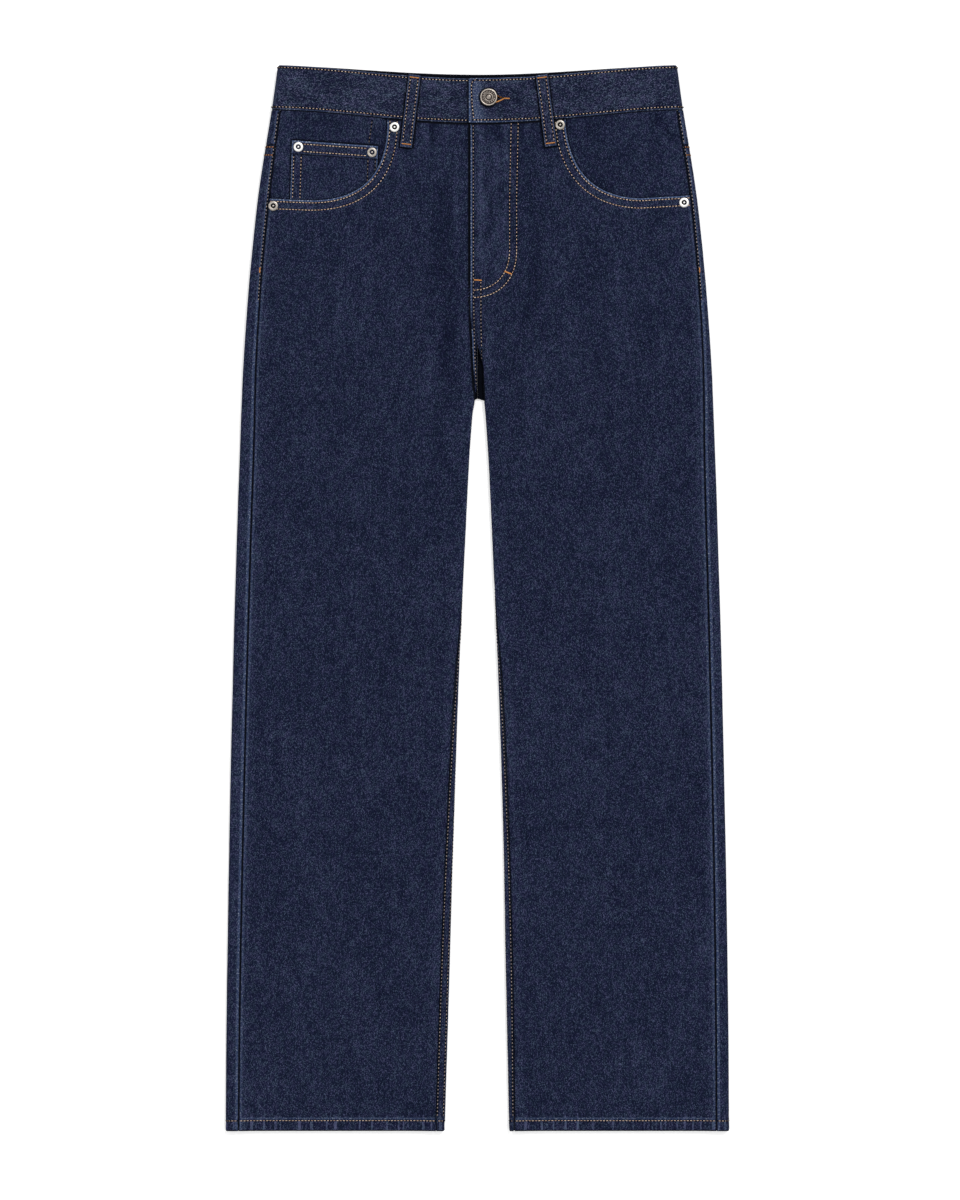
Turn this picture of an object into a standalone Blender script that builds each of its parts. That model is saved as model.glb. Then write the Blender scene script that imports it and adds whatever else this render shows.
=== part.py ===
"""Straight leg jeans with five pockets, buttoned and laid flat on their back.

X is across the garment, with the wearer's left at +X. Y runs up it, from the hems to the waist.
Z is up off the surface that it lies on. Every size below is in millimetres, and the meshes are in metres.
A place on the cloth has two coordinates: its drop, which is how far it lies below the waist's
corners, and its wrap, which is how far it lies round the leg from the side fold.
"""

import math
from collections import namedtuple

import bmesh
import bpy

MM = 0.001  # metres in a millimetre

# ---- Driving sizes, in millimetres ----

LENGTH = 1066.0  # from the waist's corners to the hems
WALL = 1.2  # one layer of denim
BAND_WALL = 2.4  # the waistband, which is a folded double layer
TRIM_WALL = 1.8  # belt loops and patch pockets, whose edges are folded in
GAP = 0.3  # between two pieces, at a seam or where one lies on the other

BAND_HEIGHT = 44.6
FRONT_DIP = 13.4  # how much lower the front waist is in the middle than at its corners
BACK_DIP = 9.8
DIP_POWER = 1.7
DIP_ENDS_AT = 285.0  # the drop where rows of the front are straight again

CROTCH = 334.7  # the drop where the legs part
TURN_STARTS = 285.0  # the drop where the fronts begin to turn down between the legs
TURN_ENDS = 350.0  # the drop where they have turned right under
INNER_ROOM = WALL + GAP + 0.2  # height that the turned fronts leave for the backs under them

BACK_LIFT = TRIM_WALL + GAP  # the back lies this high on its pockets and belt loops
LIFT_ENDS_FROM = 300.0  # the drop where it begins to come down to the surface
LIFT_ENDS_AT = 332.0

FOLD_REACH = 3.0  # how far a side fold's curve reaches in from its edge
INNER_REACH = 2.7  # and an inner fold's
SWELL_REACH = 22.0  # how far in from a fold the bulk of its seam lifts the front

HEM_HEIGHT = 11.5
HEM_RAISE = 0.9  # how far the folded hem stands up on the front

INSEAM_ROOM = 0.5  # more room at the inseam where it crosses the inner fold

FLY_EDGE = -7.0  # x of the fly's free edge
FLY_WIDTH = 47.0
FLY_LAP = 15.0  # how far the right front runs on under the fly
FLY_BEND = 187.0  # the drop where the fly's curve begins
FLY_END = 233.0  # the drop where it meets the rise seam
FLY_RAISE = WALL + GAP
RISE_LAP = 13.0  # width of the lapped rise seam below the fly

BAND_LAP_TO = 28.0  # x where the waistband's under end stops
BAND_OVER_FROM = -8.0  # x where its upper end starts
BAND_RAISE = BAND_WALL + GAP

YOKE_SIDE = 80.0  # drop of the yoke seam at the side fold
YOKE_CENTRE = 122.0  # and at the centre back

COIN_LEAN = math.radians(3.9)  # its top edge falls this much towards the middle
COIN_SKEW = 0.031  # x that its sides move outwards for each millimetre down
COIN_WIDTH = 86.5
COIN_CORNER = (-185.5, 75.1)  # x and drop of its upper outer corner
COIN_DEPTH = 76.0

LOOP_WIDTH = 12.0
LOOP_ARCH = 0.7  # how far a belt loop stands off the band between its sewn ends

EYE_RADIUS = 3.6  # the round end of the keyhole buttonhole, where the shank sits
EYE_LENGTH = 15.0  # from its middle to the far end of the slit
EYE_SLIT = 0.7  # half the width of the slit
BUTTON_PLACE = (11.3, 32.9)
BUTTON_RADIUS = 8.6
SHANK_RADIUS = 2.4
RIVET_RADIUS = 4.75

# ---- Tables: one row for each section across the garment ----

Section = namedtuple("Section", "drop half_width seam_right seam_left middle rim")
# half_width is to the side fold; seam_* is how far in from it the side seam shows on the front.
# middle and rim are the height of the front's outer face, there and beside the folds.
SECTIONS = [
    Section(0, 199.5, 8.0, 6.0, 7.8, 7.8),
    Section(45, 205.8, 8.5, 6.0, 7.8, 7.8),
    Section(125, 218.5, 11.0, 6.0, 7.8, 7.8),
    Section(205, 227.2, 11.8, 6.8, 7.8, 7.8),
    Section(255, 231.2, 12.2, 7.2, 7.8, 7.8),
    Section(300, 234.2, 12.6, 8.2, 7.2, 7.4),
    Section(336, 235.9, 13.2, 9.2, 6.2, 6.6),
    Section(395, 238.2, 14.0, 10.8, 5.0, 6.1),
    Section(455, 240.3, 14.0, 11.4, 4.2, 5.9),
    Section(605, 244.7, 14.0, 11.8, 3.7, 5.7),
    Section(805, 249.0, 13.6, 12.1, 3.7, 5.7),
    Section(955, 251.2, 13.1, 12.4, 3.8, 5.7),
    Section(1066, 252.0, 13.0, 12.6, 4.0, 5.7),
]

Inner = namedtuple("Inner", "drop right left inseam_right inseam_left")
# right and left are the x distances of the legs' inner folds from the middle. inseam_* is how far
# the inseam lies from that fold: below zero it is underneath, above zero it shows on the front.
INNERS = [
    Inner(285, 0.6, 1.2, -5.0, -5.0),
    Inner(305, 1.2, 4.8, -5.0, -5.0),
    Inner(335, 2.6, 6.6, -5.0, -5.0),
    Inner(350, 5.0, 8.1, -5.0, -5.0),
    Inner(405, 8.7, 11.7, -4.6, -4.6),
    Inner(505, 13.7, 16.3, -1.0, -1.0),
    Inner(605, 18.3, 20.7, 4.7, 4.1),
    Inner(755, 23.6, 25.7, 8.0, 5.6),
    Inner(905, 27.8, 28.7, 9.9, 6.8),
    Inner(1066, 32.7, 32.0, 10.0, 6.8),
]

Edge = namedtuple("Edge", "drop right left")
# x of the two fronts' centre edges, above where they turn down between the legs.
CENTRE_EDGES = [
    Edge(0, FLY_EDGE + FLY_LAP, FLY_EDGE),
    Edge(218, FLY_EDGE + FLY_LAP, FLY_EDGE),
    Edge(236, FLY_EDGE - GAP, FLY_EDGE),
    Edge(262, -5.0, -4.7),
    Edge(285, -0.6, 1.2),
]

Crease = namedtuple("Crease", "x from_drop to_drop width depth lean")
# Soft troughs in the fronts. lean is how far x moves over the crease's length.
CREASES = [
    Crease(-150, 330, 620, 26, 0.5, 26),
    Crease(-70, 380, 700, 24, -0.6, -18),
    Crease(-180, 640, 960, 28, 0.5, 20),
    Crease(-96, 700, 1010, 30, 0.5, -14),
    Crease(160, 320, 600, 26, 0.5, -24),
    Crease(84, 400, 730, 26, -0.6, 20),
    Crease(190, 660, 940, 28, 0.5, -18),
    Crease(104, 720, 1020, 30, 0.5, 12),
]

Spot = namedtuple("Spot", "name x drop lies_on")
RIVETS = [
    Spot("rivet_right_pocket_top", -82.8, 62.2, "front"),
    Spot("rivet_right_pocket_side", -204.0, 140.9, "front"),
    Spot("rivet_coin_pocket_outer", -179.0, 81.8, "coin"),
    Spot("rivet_coin_pocket_inner", -105.3, 87.2, "coin"),
    Spot("rivet_left_pocket_top", 82.7, 59.9, "front"),
    Spot("rivet_left_pocket_side", 206.6, 137.6, "front"),
]

Loop = namedtuple("Loop", "name top_x top_drop bottom_x bottom_drop")
FRONT_LOOPS = [
    Loop("belt_loop_front_right", -62.6, 10.2, -71.4, 82.4),
    Loop("belt_loop_front_left", 64.2, 10.2, 73.4, 81.4),
]
BACK_LOOPS = [
    Loop("belt_loop_back_right", -118.0, 6.6, -122.0, 80.0),
    Loop("belt_loop_centre_back", 0.0, 10.4, 0.0, 83.0),
    Loop("belt_loop_back_left", 118.0, 6.6, 122.0, 80.0),
]

# Half of a back pocket's outline, as x distances from the middle and drops.
BACK_POCKET = [(36, 144), (184, 128), (177, 258), (113, 287), (46, 268)]

# Each pocket mouth, as distances from the middle and drops: a Bezier curve, then a straight run.
MOUTHS = {
    "right": [(90.0, 60.0), (91.0, 107.0), (113.5, 135.5), (167.0, 135.3), (226.0, 133.0)],
    "left": [(88.0, 60.0), (91.5, 98.0), (110.0, 132.0), (163.0, 133.2), (226.0, 129.5)],
}
MOUTH_STEPS = 10
MOUTH_ABOVE = 30.0  # drop that the cut of a mouth starts from, behind the waistband

FACING_INNER = 74.0  # the facing's inner edge, under the front
FACING_DROP = 152.0
FACING_EASE = 15.0  # how far in from its seams the facing takes to lie down
FACING_STEP = 8.0  # how far out from the mouth it stays down
COIN_BELOW = WALL + GAP + WALL + GAP  # depth of the right facing under the front
PLAIN_BELOW = WALL + 2 * GAP  # and of the left one, with no coin pocket on it

# Drops of the panels' rows. All panels share them, so that their edges meet at the side seams.
ROWS = [
    *(62, YOKE_SIDE, 100, 122, 146, 166, 187, 203, 219, 236, 262, 284, 296, 308, 322, 331),
    *(CROTCH, 341, 350, 372, 410, 465, 505, 545, 585, 625, 680, 745, 820, 900, 975, 1030),
    *(LENGTH - HEM_HEIGHT - 1, LENGTH - HEM_HEIGHT, LENGTH),
]
FRONT_ROWS = [BAND_HEIGHT + GAP, *ROWS]
BACK_ROWS = [YOKE_SIDE + GAP / 2, *(row for row in ROWS if row > YOKE_SIDE)]
FRONT_COLUMNS = 17
BACK_COLUMNS = 19
FOLD_STEP = 1.4  # distance between a row's points round a fold
NEAR_STEP = 7.0  # within NEAR of one
FLAT_STEP = 22.0  # and elsewhere
NEAR = 16.0

DENIM = (0.017, 0.022, 0.048)
DENIM_DARK = (0.012, 0.016, 0.036)
NICKEL = (0.62, 0.60, 0.56)


# ---- Reading the tables ----


def smooth(start, end, value):
    """0 before start, 1 after end, and an S-shaped rise between."""
    t = min(1.0, max(0.0, (value - start) / (end - start)))
    return t * t * (3 - 2 * t)


def read(table, column, drop):
    """A table's column at any drop, on a smooth curve through its rows."""
    drop = min(table[-1].drop, max(table[0].drop, drop))
    after = next(i for i in range(1, len(table)) if drop <= table[i].drop)
    rows = [table[max(after - 2, 0)], table[after - 1], table[after]]
    rows.append(table[min(after + 1, len(table) - 1)])
    at = [row.drop for row in rows]
    value = [getattr(row, column) for row in rows]
    span = at[2] - at[1]
    slope_in = (value[2] - value[0]) / (at[2] - at[0]) * span
    slope_out = (value[3] - value[1]) / (at[3] - at[1]) * span
    t = (drop - at[1]) / span
    return (
        (2 * t**3 - 3 * t**2 + 1) * value[1]
        + (t**3 - 2 * t**2 + t) * slope_in
        + (3 * t**2 - 2 * t**3) * value[2]
        + (t**3 - t**2) * slope_out
    )


def named(side):
    """The wearer's side: right is at -X, and left is at +X."""
    return "right" if side < 0 else "left"


# ---- The laid form: heights, folds and the skin that every piece is cut from ----


def lift(drop):
    """Height of the back's underside. Pockets and loops under it hold it up at the seat."""
    return BACK_LIFT * (1 - smooth(LIFT_ENDS_FROM, LIFT_ENDS_AT, drop))


def crease_height(x, drop):
    total = 0.0
    for crease in CREASES:
        along = (drop - crease.from_drop) / (crease.to_drop - crease.from_drop)
        if 0 < along < 1:
            off = (x - crease.x - crease.lean * along) / crease.width
            total -= crease.depth * math.sin(math.pi * along) ** 2 * math.exp(-off * off)
    return total


def fly_raise(x, drop):
    """How far the left front stands up over the fly and the lapped rise seam."""
    bend = max(0.0, drop - FLY_BEND) / (FLY_END - FLY_BEND)
    away = math.hypot(max(0.0, x - FLY_EDGE) / FLY_WIDTH, bend)
    over_fly = 1 - smooth(0.98, 1.26, away)
    seam = read(CENTRE_EDGES, "left", drop)
    over_rise = 1 - smooth(seam + RISE_LAP - 3, seam + RISE_LAP + 3, x)
    over_rise *= 1 - smooth(262, 290, drop)
    return FLY_RAISE * max(over_fly, over_rise)


def front_height(side, across, drop):
    """Height of the front's outer face. across is the distance from the middle on that side."""
    fold = read(SECTIONS, "half_width", drop) - across
    swell = math.exp(-((fold / SWELL_REACH) ** 2))
    if drop > CROTCH:
        inner = across - read(INNERS, named(side), drop)
        swell += math.exp(-((inner / SWELL_REACH) ** 2))
    middle = read(SECTIONS, "middle", drop)
    rim = read(SECTIONS, "rim", drop)
    height = middle + (rim - middle) * min(swell, 1.0)
    height += HEM_RAISE * smooth(LENGTH - HEM_HEIGHT - 1, LENGTH - HEM_HEIGHT, drop)
    return height + crease_height(side * across, drop)


def quarter(reach, height):
    """Length of a quarter of an ellipse."""
    return math.pi / 2 * math.sqrt((reach * reach + height * height) / 2)


def section(side, drop):
    """The folds' sizes at this drop: everything that places a point round the leg."""
    half = read(SECTIONS, "half_width", drop)
    under = lift(drop)
    outer_top = front_height(side, half - FOLD_REACH, drop)
    outer_arc = quarter(FOLD_REACH, (outer_top - under) / 2)
    if drop < TURN_STARTS:
        inner = side * read(CENTRE_EDGES, named(side), drop)
        turn = 0.0
    else:
        inner = read(INNERS, named(side), drop)
        turn = smooth(TURN_STARTS, TURN_STARTS + 25, drop)
    reach = INNER_REACH * turn
    floor = under + INNER_ROOM * (1 - smooth(CROTCH, TURN_ENDS, drop))
    inner_top = front_height(side, inner + reach, drop)
    half_height = (inner_top - floor) / 2
    return {
        "half": half,
        "under": under,
        "outer_top": outer_top,
        "outer_arc": outer_arc,
        "inner": inner,
        "reach": reach,
        "floor": floor,
        "half_height": half_height,
        "inner_arc": quarter(reach, half_height) if turn else 0.0,
        "flat": half - FOLD_REACH - inner - reach,
    }


def skin(side, wrap, drop):
    """A point of the outer face, as (x, y, z). wrap is 0 at the side fold, and above 0 on the front."""
    s = section(side, drop)
    far = abs(wrap)
    mid = (s["outer_top"] + s["under"]) / 2
    if far <= s["outer_arc"]:
        angle = wrap / s["outer_arc"] * math.pi / 2
        across = s["half"] - FOLD_REACH * (1 - math.cos(angle))
        height = mid + (s["outer_top"] - mid) * math.sin(angle)
        return side * across, LENGTH / 2 - drop, height
    along = far - s["outer_arc"]
    turned = (along - s["flat"]) / max(2 * s["inner_arc"], 1e-6)
    if turned <= 0 or s["inner_arc"] == 0 or (wrap < 0 and drop < CROTCH + 1):
        across = s["half"] - FOLD_REACH - along
        height = front_height(side, across, drop) if wrap > 0 else s["under"]
        return side * across, LENGTH / 2 - drop, height
    if turned <= 1:
        angle = turned * math.pi
        across = s["inner"] + s["reach"] * (1 - math.sin(angle))
        middle = s["floor"] + s["half_height"]
        height = middle + s["half_height"] * math.cos(angle) * (1 if wrap > 0 else -1)
        return side * across, LENGTH / 2 - drop, height
    across = s["inner"] + s["reach"] + along - s["flat"] - 2 * s["inner_arc"]
    height = s["floor"] if wrap > 0 else front_height(side, across, drop)
    return side * across, LENGTH / 2 - drop, height


def seam_wrap(side, drop):
    """Wrap of the side seam, which shows on the front beside the fold."""
    inset = read(SECTIONS, "seam_" + named(side), drop)
    return section(side, drop)["outer_arc"] + inset - FOLD_REACH


def front_end(side, drop):
    """Wrap of the front's inner edge: the centre edge, or the inseam lower down."""
    s = section(side, drop)
    top = s["outer_arc"] + s["flat"]
    if drop < TURN_STARTS:
        return top
    inseam = read(INNERS, "inseam_" + named(side), drop)
    return top + smooth(TURN_STARTS, TURN_ENDS, drop) * (s["inner_arc"] - inseam)


def inseam_room(side, drop):
    """Extra room at the inseam where it crosses the fold, so that the walls' inner edges clear."""
    if drop < TURN_STARTS:
        return 0.0
    off = read(INNERS, "inseam_" + named(side), drop)
    return INSEAM_ROOM * (1 - smooth(5, 9.5, abs(off)))


def back_end(side, drop):
    """Wrap of the back's inner edge, below zero: the centre back seam, then the inseam."""
    s = section(side, drop)
    if drop < CROTCH + 1:
        return -(s["outer_arc"] + s["half"] - FOLD_REACH)
    inseam = read(INNERS, "inseam_" + named(side), drop)
    return -(s["outer_arc"] + s["flat"] + s["inner_arc"] + inseam)


def dip(across, depth, drop):
    """How far the waist's curve has dropped here. It fades out down the hips."""
    half = read(SECTIONS, "half_width", 22)
    bow = max(0.0, math.cos(math.pi / 2 * min(1.0, abs(across) / half))) ** DIP_POWER
    return depth * bow * (1 - smooth(60, DIP_ENDS_AT, drop))


def spread(side, drop, start, end, columns):
    """Wraps of a row's points, close together round the folds and wider apart on the flat."""
    s = section(side, drop)
    flat_end = s["outer_arc"] + s["flat"]
    fold_end = flat_end + 2 * s["inner_arc"]
    if start < 0 or end < 0:
        fold_end = fold_end if drop > CROTCH else flat_end
    steps = [(-fold_end - NEAR, FLAT_STEP), (-fold_end, NEAR_STEP), (-flat_end, FOLD_STEP)]
    steps += [(-flat_end + NEAR, NEAR_STEP), (-s["outer_arc"] - NEAR, FLAT_STEP)]
    steps += [(-s["outer_arc"], NEAR_STEP), (s["outer_arc"], FOLD_STEP)]
    steps += [(s["outer_arc"] + NEAR, NEAR_STEP), (flat_end - NEAR, FLAT_STEP)]
    steps += [(flat_end, NEAR_STEP), (fold_end, FOLD_STEP), (fold_end + NEAR, NEAR_STEP)]
    low, high = min(start, end), max(start, end)
    runs = []
    at = low
    for mark, step in steps:
        stop = min(mark, high)
        if stop > at:
            runs.append((at, stop, step))
            at = stop
    if high > at:
        runs.append((at, high, FLAT_STEP))
    total = sum((b - a) / step for a, b, step in runs)
    wraps = []
    for column in range(columns + 1):
        left = total * column / columns
        for a, b, step in runs:
            if left <= (b - a) / step + 1e-9:
                break
            left -= (b - a) / step
        wraps.append(min(a + left * step, high))
    return wraps if start < end else wraps[::-1]


def place(side, row, column, columns, edges, sag):
    """The skin's point in this column of a row, between the piece's two edges.

    sag says how much lower than the row this point lies, from its x and wrap.
    """
    drop = row
    for _ in range(2):
        wrap = spread(side, drop, *edges(drop), columns)[column]
        drop = row + sag(skin(side, wrap, row)[0], wrap, row)
    wrap = spread(side, drop, *edges(drop), columns)[column]
    return skin(side, wrap, drop)


# ---- Making the pieces ----


def clear_scene():
    for obj in list(bpy.data.objects):
        bpy.data.objects.remove(obj)


def make_collection(name):
    made = bpy.data.collections.new(name)
    bpy.context.scene.collection.children.link(made)
    return made


def make_material(name, colour, roughness, metallic=0.0):
    made = bpy.data.materials.new(name)
    made.use_nodes = True
    shader = made.node_tree.nodes["Principled BSDF"]
    shader.inputs["Base Color"].default_value = (*colour, 1)
    shader.inputs["Roughness"].default_value = roughness
    shader.inputs["Metallic"].default_value = metallic
    return made


def add_object(name, mesh, material, collection, smooth_above=None):
    mesh.materials.append(material)
    if smooth_above is not None:
        mesh.shade_smooth()
        mesh.set_sharp_from_angle(angle=math.radians(smooth_above))
    obj = bpy.data.objects.new(name, mesh)
    collection.objects.link(obj)
    return obj


def cloth(name, columns, rows, where, wall, material, collection, flip=False):
    """A sheet of cloth: a grid whose points go where the function says, thickened inwards."""
    bm = bmesh.new()
    bmesh.ops.create_grid(bm, x_segments=columns, y_segments=rows, size=0.5)
    for vert in bm.verts:
        column = round((vert.co.x + 0.5) * columns)
        row = round((0.5 - vert.co.y) * rows)
        vert.co = [size * MM for size in where(column, row)]
    if flip:
        bmesh.ops.reverse_faces(bm, faces=bm.faces)
    mesh = bpy.data.meshes.new(name)
    bm.to_mesh(mesh)
    bm.free()
    obj = add_object(name, mesh, material, collection, smooth_above=40)
    shell = obj.modifiers.new("wall", "SOLIDIFY")
    shell.thickness = wall * MM
    shell.offset = -1
    shell.use_even_offset = True
    return obj


def flat_plate(name, outline, low, high, material, collection):
    """A flat piece with this outline, from one height to another, as an extruded curve."""
    curve = bpy.data.curves.new(name, "CURVE")
    curve.dimensions = "2D"
    curve.fill_mode = "BOTH"
    curve.extrude = (high - low) / 2 * MM
    spline = curve.splines.new("POLY")
    spline.points.add(len(outline) - 1)
    spline.use_cyclic_u = True
    for point, (x, drop) in zip(spline.points, outline):
        point.co = (x * MM, (LENGTH / 2 - drop) * MM, 0, 1)
    curve.materials.append(material)
    obj = bpy.data.objects.new(name, curve)
    obj.location.z = (low + high) / 2 * MM
    collection.objects.link(obj)
    return obj


def as_mesh(obj, collection):
    """The same object as a welded mesh, which a Boolean can read."""
    bpy.context.view_layer.update()
    graph = bpy.context.evaluated_depsgraph_get()
    mesh = bpy.data.meshes.new_from_object(obj.evaluated_get(graph))
    bm = bmesh.new()
    bm.from_mesh(mesh)
    bmesh.ops.remove_doubles(bm, verts=bm.verts, dist=1e-6)
    bmesh.ops.recalc_face_normals(bm, faces=bm.faces)
    bm.to_mesh(mesh)
    bm.free()
    name, matrix = obj.name, obj.matrix_world.copy()
    bpy.data.objects.remove(obj)
    made = bpy.data.objects.new(name, mesh)
    made.matrix_world = matrix
    collection.objects.link(made)
    return made


def cut(obj, cutter):
    cutter.hide_render = True
    cutter.display_type = "WIRE"
    boolean = obj.modifiers.new("cut", "BOOLEAN")
    boolean.operation = "DIFFERENCE"
    boolean.object = cutter


def turned(name, profile, steps, place_at, material, collection):
    """A turned piece: a profile of (radius, height) points, from its top to its foot, spun round Z."""
    mesh = bpy.data.meshes.new(name)
    points = [(radius * MM, 0, height * MM) for radius, height in profile]
    mesh.from_pydata(points, [(i, i + 1) for i in range(len(points) - 1)], [])
    obj = add_object(name, mesh, material, collection)
    obj.location = [size * MM for size in place_at]
    spin = obj.modifiers.new("spin", "SCREW")
    spin.steps = spin.render_steps = steps
    spin.use_merge_vertices = True
    spin.merge_threshold = 0.00001


# ---- The pieces ----


def mouth_curve(side):
    """Points of a pocket mouth, from behind the waistband to past the side seam."""
    *p, end = MOUTHS[named(side)]
    points = [(p[0][0], MOUTH_ABOVE)]
    for step in range(MOUTH_STEPS + 1):
        t = step / MOUTH_STEPS
        weights = ((1 - t) ** 3, 3 * t * (1 - t) ** 2, 3 * t * t * (1 - t), t**3)
        points.append(tuple(sum(w * q[k] for w, q in zip(weights, p)) for k in (0, 1)))
    return [*points, end]


def mouth_cutter(side, material, cutters):
    """Everything above and outside a pocket mouth."""
    curve = mouth_curve(side)
    outline = [(side * across, drop) for across, drop in [*curve, (curve[-1][0], MOUTH_ABOVE)]]
    plate = flat_plate(f"mouth_{named(side)}", outline, 0.0, 14.0, material, cutters)
    return as_mesh(plate, cutters)


def outside_mouth(side, across, drop):
    """How far a place is inside the pocket's opening. It is below zero under the front."""
    curve = mouth_curve(side)
    runs = list(zip(curve, curve[1:]))
    nearest = min(distance_to_run((across, drop), a, b) for a, b in runs)
    crossings = [
        a[0] + (b[0] - a[0]) * (drop - a[1]) / (b[1] - a[1])
        for a, b in runs
        if min(a[1], b[1]) <= drop < max(a[1], b[1])
    ]
    opened = bool(crossings) and across > min(crossings)
    return nearest if opened else -nearest


def distance_to_run(p, a, b):
    dx, dy = b[0] - a[0], b[1] - a[1]
    t = ((p[0] - a[0]) * dx + (p[1] - a[1]) * dy) / (dx * dx + dy * dy)
    t = min(1.0, max(0.0, t))
    return math.hypot(p[0] - a[0] - t * dx, p[1] - a[1] - t * dy)


def front_panel(side, material, parts, cutters):
    def edges(drop):
        room = GAP / 2 + inseam_room(side, drop)
        return seam_wrap(side, drop) + GAP / 2, front_end(side, drop) - room

    def sag(x, wrap, drop):
        return dip(x, FRONT_DIP, drop)

    def where(column, row):
        x, y, z = place(side, FRONT_ROWS[row], column, FRONT_COLUMNS, edges, sag)
        drop = LENGTH / 2 - y
        if side > 0 and drop < TURN_STARTS:
            z += fly_raise(x, drop)
        return x, y, z

    name = f"front_panel_{named(side)}"
    rows = len(FRONT_ROWS) - 1
    panel = cloth(name, FRONT_COLUMNS, rows, where, WALL, material, parts, flip=side > 0)
    cut(panel, mouth_cutter(side, material, cutters))


def yoke_seam(side, x, wrap):
    """Drop of the yoke seam: level on the front's strip, and falling to the centre back."""
    if wrap > 0:
        return YOKE_SIDE
    half = read(SECTIONS, "half_width", YOKE_SIDE)
    return YOKE_SIDE + (YOKE_CENTRE - YOKE_SIDE) * max(0.0, 1 - abs(x) / half) ** 0.9


def back_edges(side):
    def edges(drop):
        room = GAP / 2 + inseam_room(side, drop)
        return seam_wrap(side, drop) - GAP / 2, back_end(side, drop) + room

    return edges


def back_panel(side, material, parts):
    def sag(x, wrap, drop):
        return (yoke_seam(side, x, wrap) - YOKE_SIDE) * (1 - smooth(YOKE_SIDE, 300, drop))

    def where(column, row):
        return place(side, BACK_ROWS[row], column, BACK_COLUMNS, back_edges(side), sag)

    name = f"back_panel_{named(side)}"
    rows = len(BACK_ROWS) - 1
    cloth(name, BACK_COLUMNS, rows, where, WALL, material, parts, flip=side < 0)


def yoke(side, material, parts):
    rows = [BAND_HEIGHT + GAP, 62.0, YOKE_SIDE - GAP / 2]

    def where(column, row):
        down = (rows[row] - rows[0]) / (rows[-1] - rows[0])

        def sag(x, wrap, drop):
            top = dip(x, BACK_DIP if wrap < 0 else FRONT_DIP, BAND_HEIGHT)
            bottom = yoke_seam(side, x, wrap) - YOKE_SIDE
            return top + (bottom - top) * down

        return place(side, rows[row], column, BACK_COLUMNS, back_edges(side), sag)

    name = f"yoke_{named(side)}"
    cloth(name, BACK_COLUMNS, len(rows) - 1, where, WALL, material, parts, flip=side < 0)


def waistband(material, parts, cutters):
    """One strip, from its under end at the front, round the back, to its buttoned upper end."""
    front = [i / 14 for i in range(14)]
    arc = [1 - i / 3 for i in range(4)]
    rows = 3
    stations = []
    for side in (-1, 1):
        here = [(side, "front", share) for share in front]
        here += [(side, "fold", share) for share in arc]
        here += [(side, "under_fold", share) for share in arc[-2::-1]]
        here += [(side, "back", i / 8) for i in range(1, 9)]
        stations.append(here)
    path = stations[0] + stations[1][:-1][::-1]
    reach = {-1: BAND_LAP_TO, 1: -BAND_OVER_FROM}

    def where(column, row):
        side, part, share = path[column]
        down = row / rows
        drop = BAND_HEIGHT * down
        for _ in range(2):
            s = section(side, drop)
            straight = s["half"] - FOLD_REACH
            if part == "front":
                wrap = s["outer_arc"] + (straight + reach[side]) * (1 - share)
            elif part == "fold":
                wrap = s["outer_arc"] * share
            elif part == "under_fold":
                wrap = -s["outer_arc"] * share
            else:
                wrap = -(s["outer_arc"] + straight * share)
            across = s["half"] if part in ("fold", "under_fold") else straight
            if part in ("front", "back"):
                across = straight - (abs(wrap) - s["outer_arc"])
            depth = FRONT_DIP if wrap > 0 else BACK_DIP
            drop = BAND_HEIGHT * down + dip(across, depth, 0)
        x, y, z = skin(side, wrap, drop)
        if side > 0 and wrap > 0:
            z += BAND_RAISE * (1 - smooth(BAND_LAP_TO + 5, BAND_LAP_TO + 26, x))
        return x, y, z

    columns = len(path) - 1
    band = cloth("waistband", columns, rows, where, BAND_WALL, material, parts, flip=True)
    x, drop = BUTTON_PLACE
    turns = [math.radians(30 + 60 * step) for step in range(6)]
    slot = [(x + EYE_RADIUS * math.cos(a), drop + EYE_RADIUS * math.sin(a)) for a in turns]
    slot.append((x + EYE_LENGTH, drop - EYE_SLIT))
    slot.append((x + EYE_LENGTH, drop + EYE_SLIT))
    top = read(SECTIONS, "middle", 0) + BAND_RAISE
    eye = flat_plate("buttonhole", slot, top - BAND_WALL - GAP / 2, top + 2, material, cutters)
    cut(band, as_mesh(eye, cutters))


def facing_height(side, across, drop):
    """The facing comes up to its seams, and lies down under the front's edge."""
    depth = COIN_BELOW if side < 0 else PLAIN_BELOW
    seam = read(SECTIONS, "half_width", drop) - read(SECTIONS, "seam_" + named(side), drop)
    top = BAND_HEIGHT + dip(across, FRONT_DIP, BAND_HEIGHT)
    from_seams = smooth(0, FACING_EASE, seam - across) * smooth(0, FACING_EASE, drop - top)
    under_front = 1 - smooth(0, FACING_STEP, outside_mouth(side, across, drop))
    lowered = depth * max(from_seams, under_front)
    return read(SECTIONS, "middle", drop) - lowered


def pocket_facing(side, material, parts):
    columns, rows = 12, 15

    def where(column, row):
        top_row = BAND_HEIGHT + GAP
        nominal = top_row + (FACING_DROP - top_row) * (row / rows)
        share = column / columns
        drop = nominal
        for _ in range(2):
            inset = read(SECTIONS, "seam_" + named(side), drop)
            seam = read(SECTIONS, "half_width", drop) - inset - GAP
            across = FACING_INNER + (seam - FACING_INNER) * share**0.8
            drop = nominal + dip(across, FRONT_DIP, BAND_HEIGHT) * (1 - row / rows)
        return side * across, LENGTH / 2 - drop, facing_height(side, across, drop)

    name = f"pocket_facing_{named(side)}"
    cloth(name, columns, rows, where, WALL, material, parts, flip=side < 0)


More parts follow.
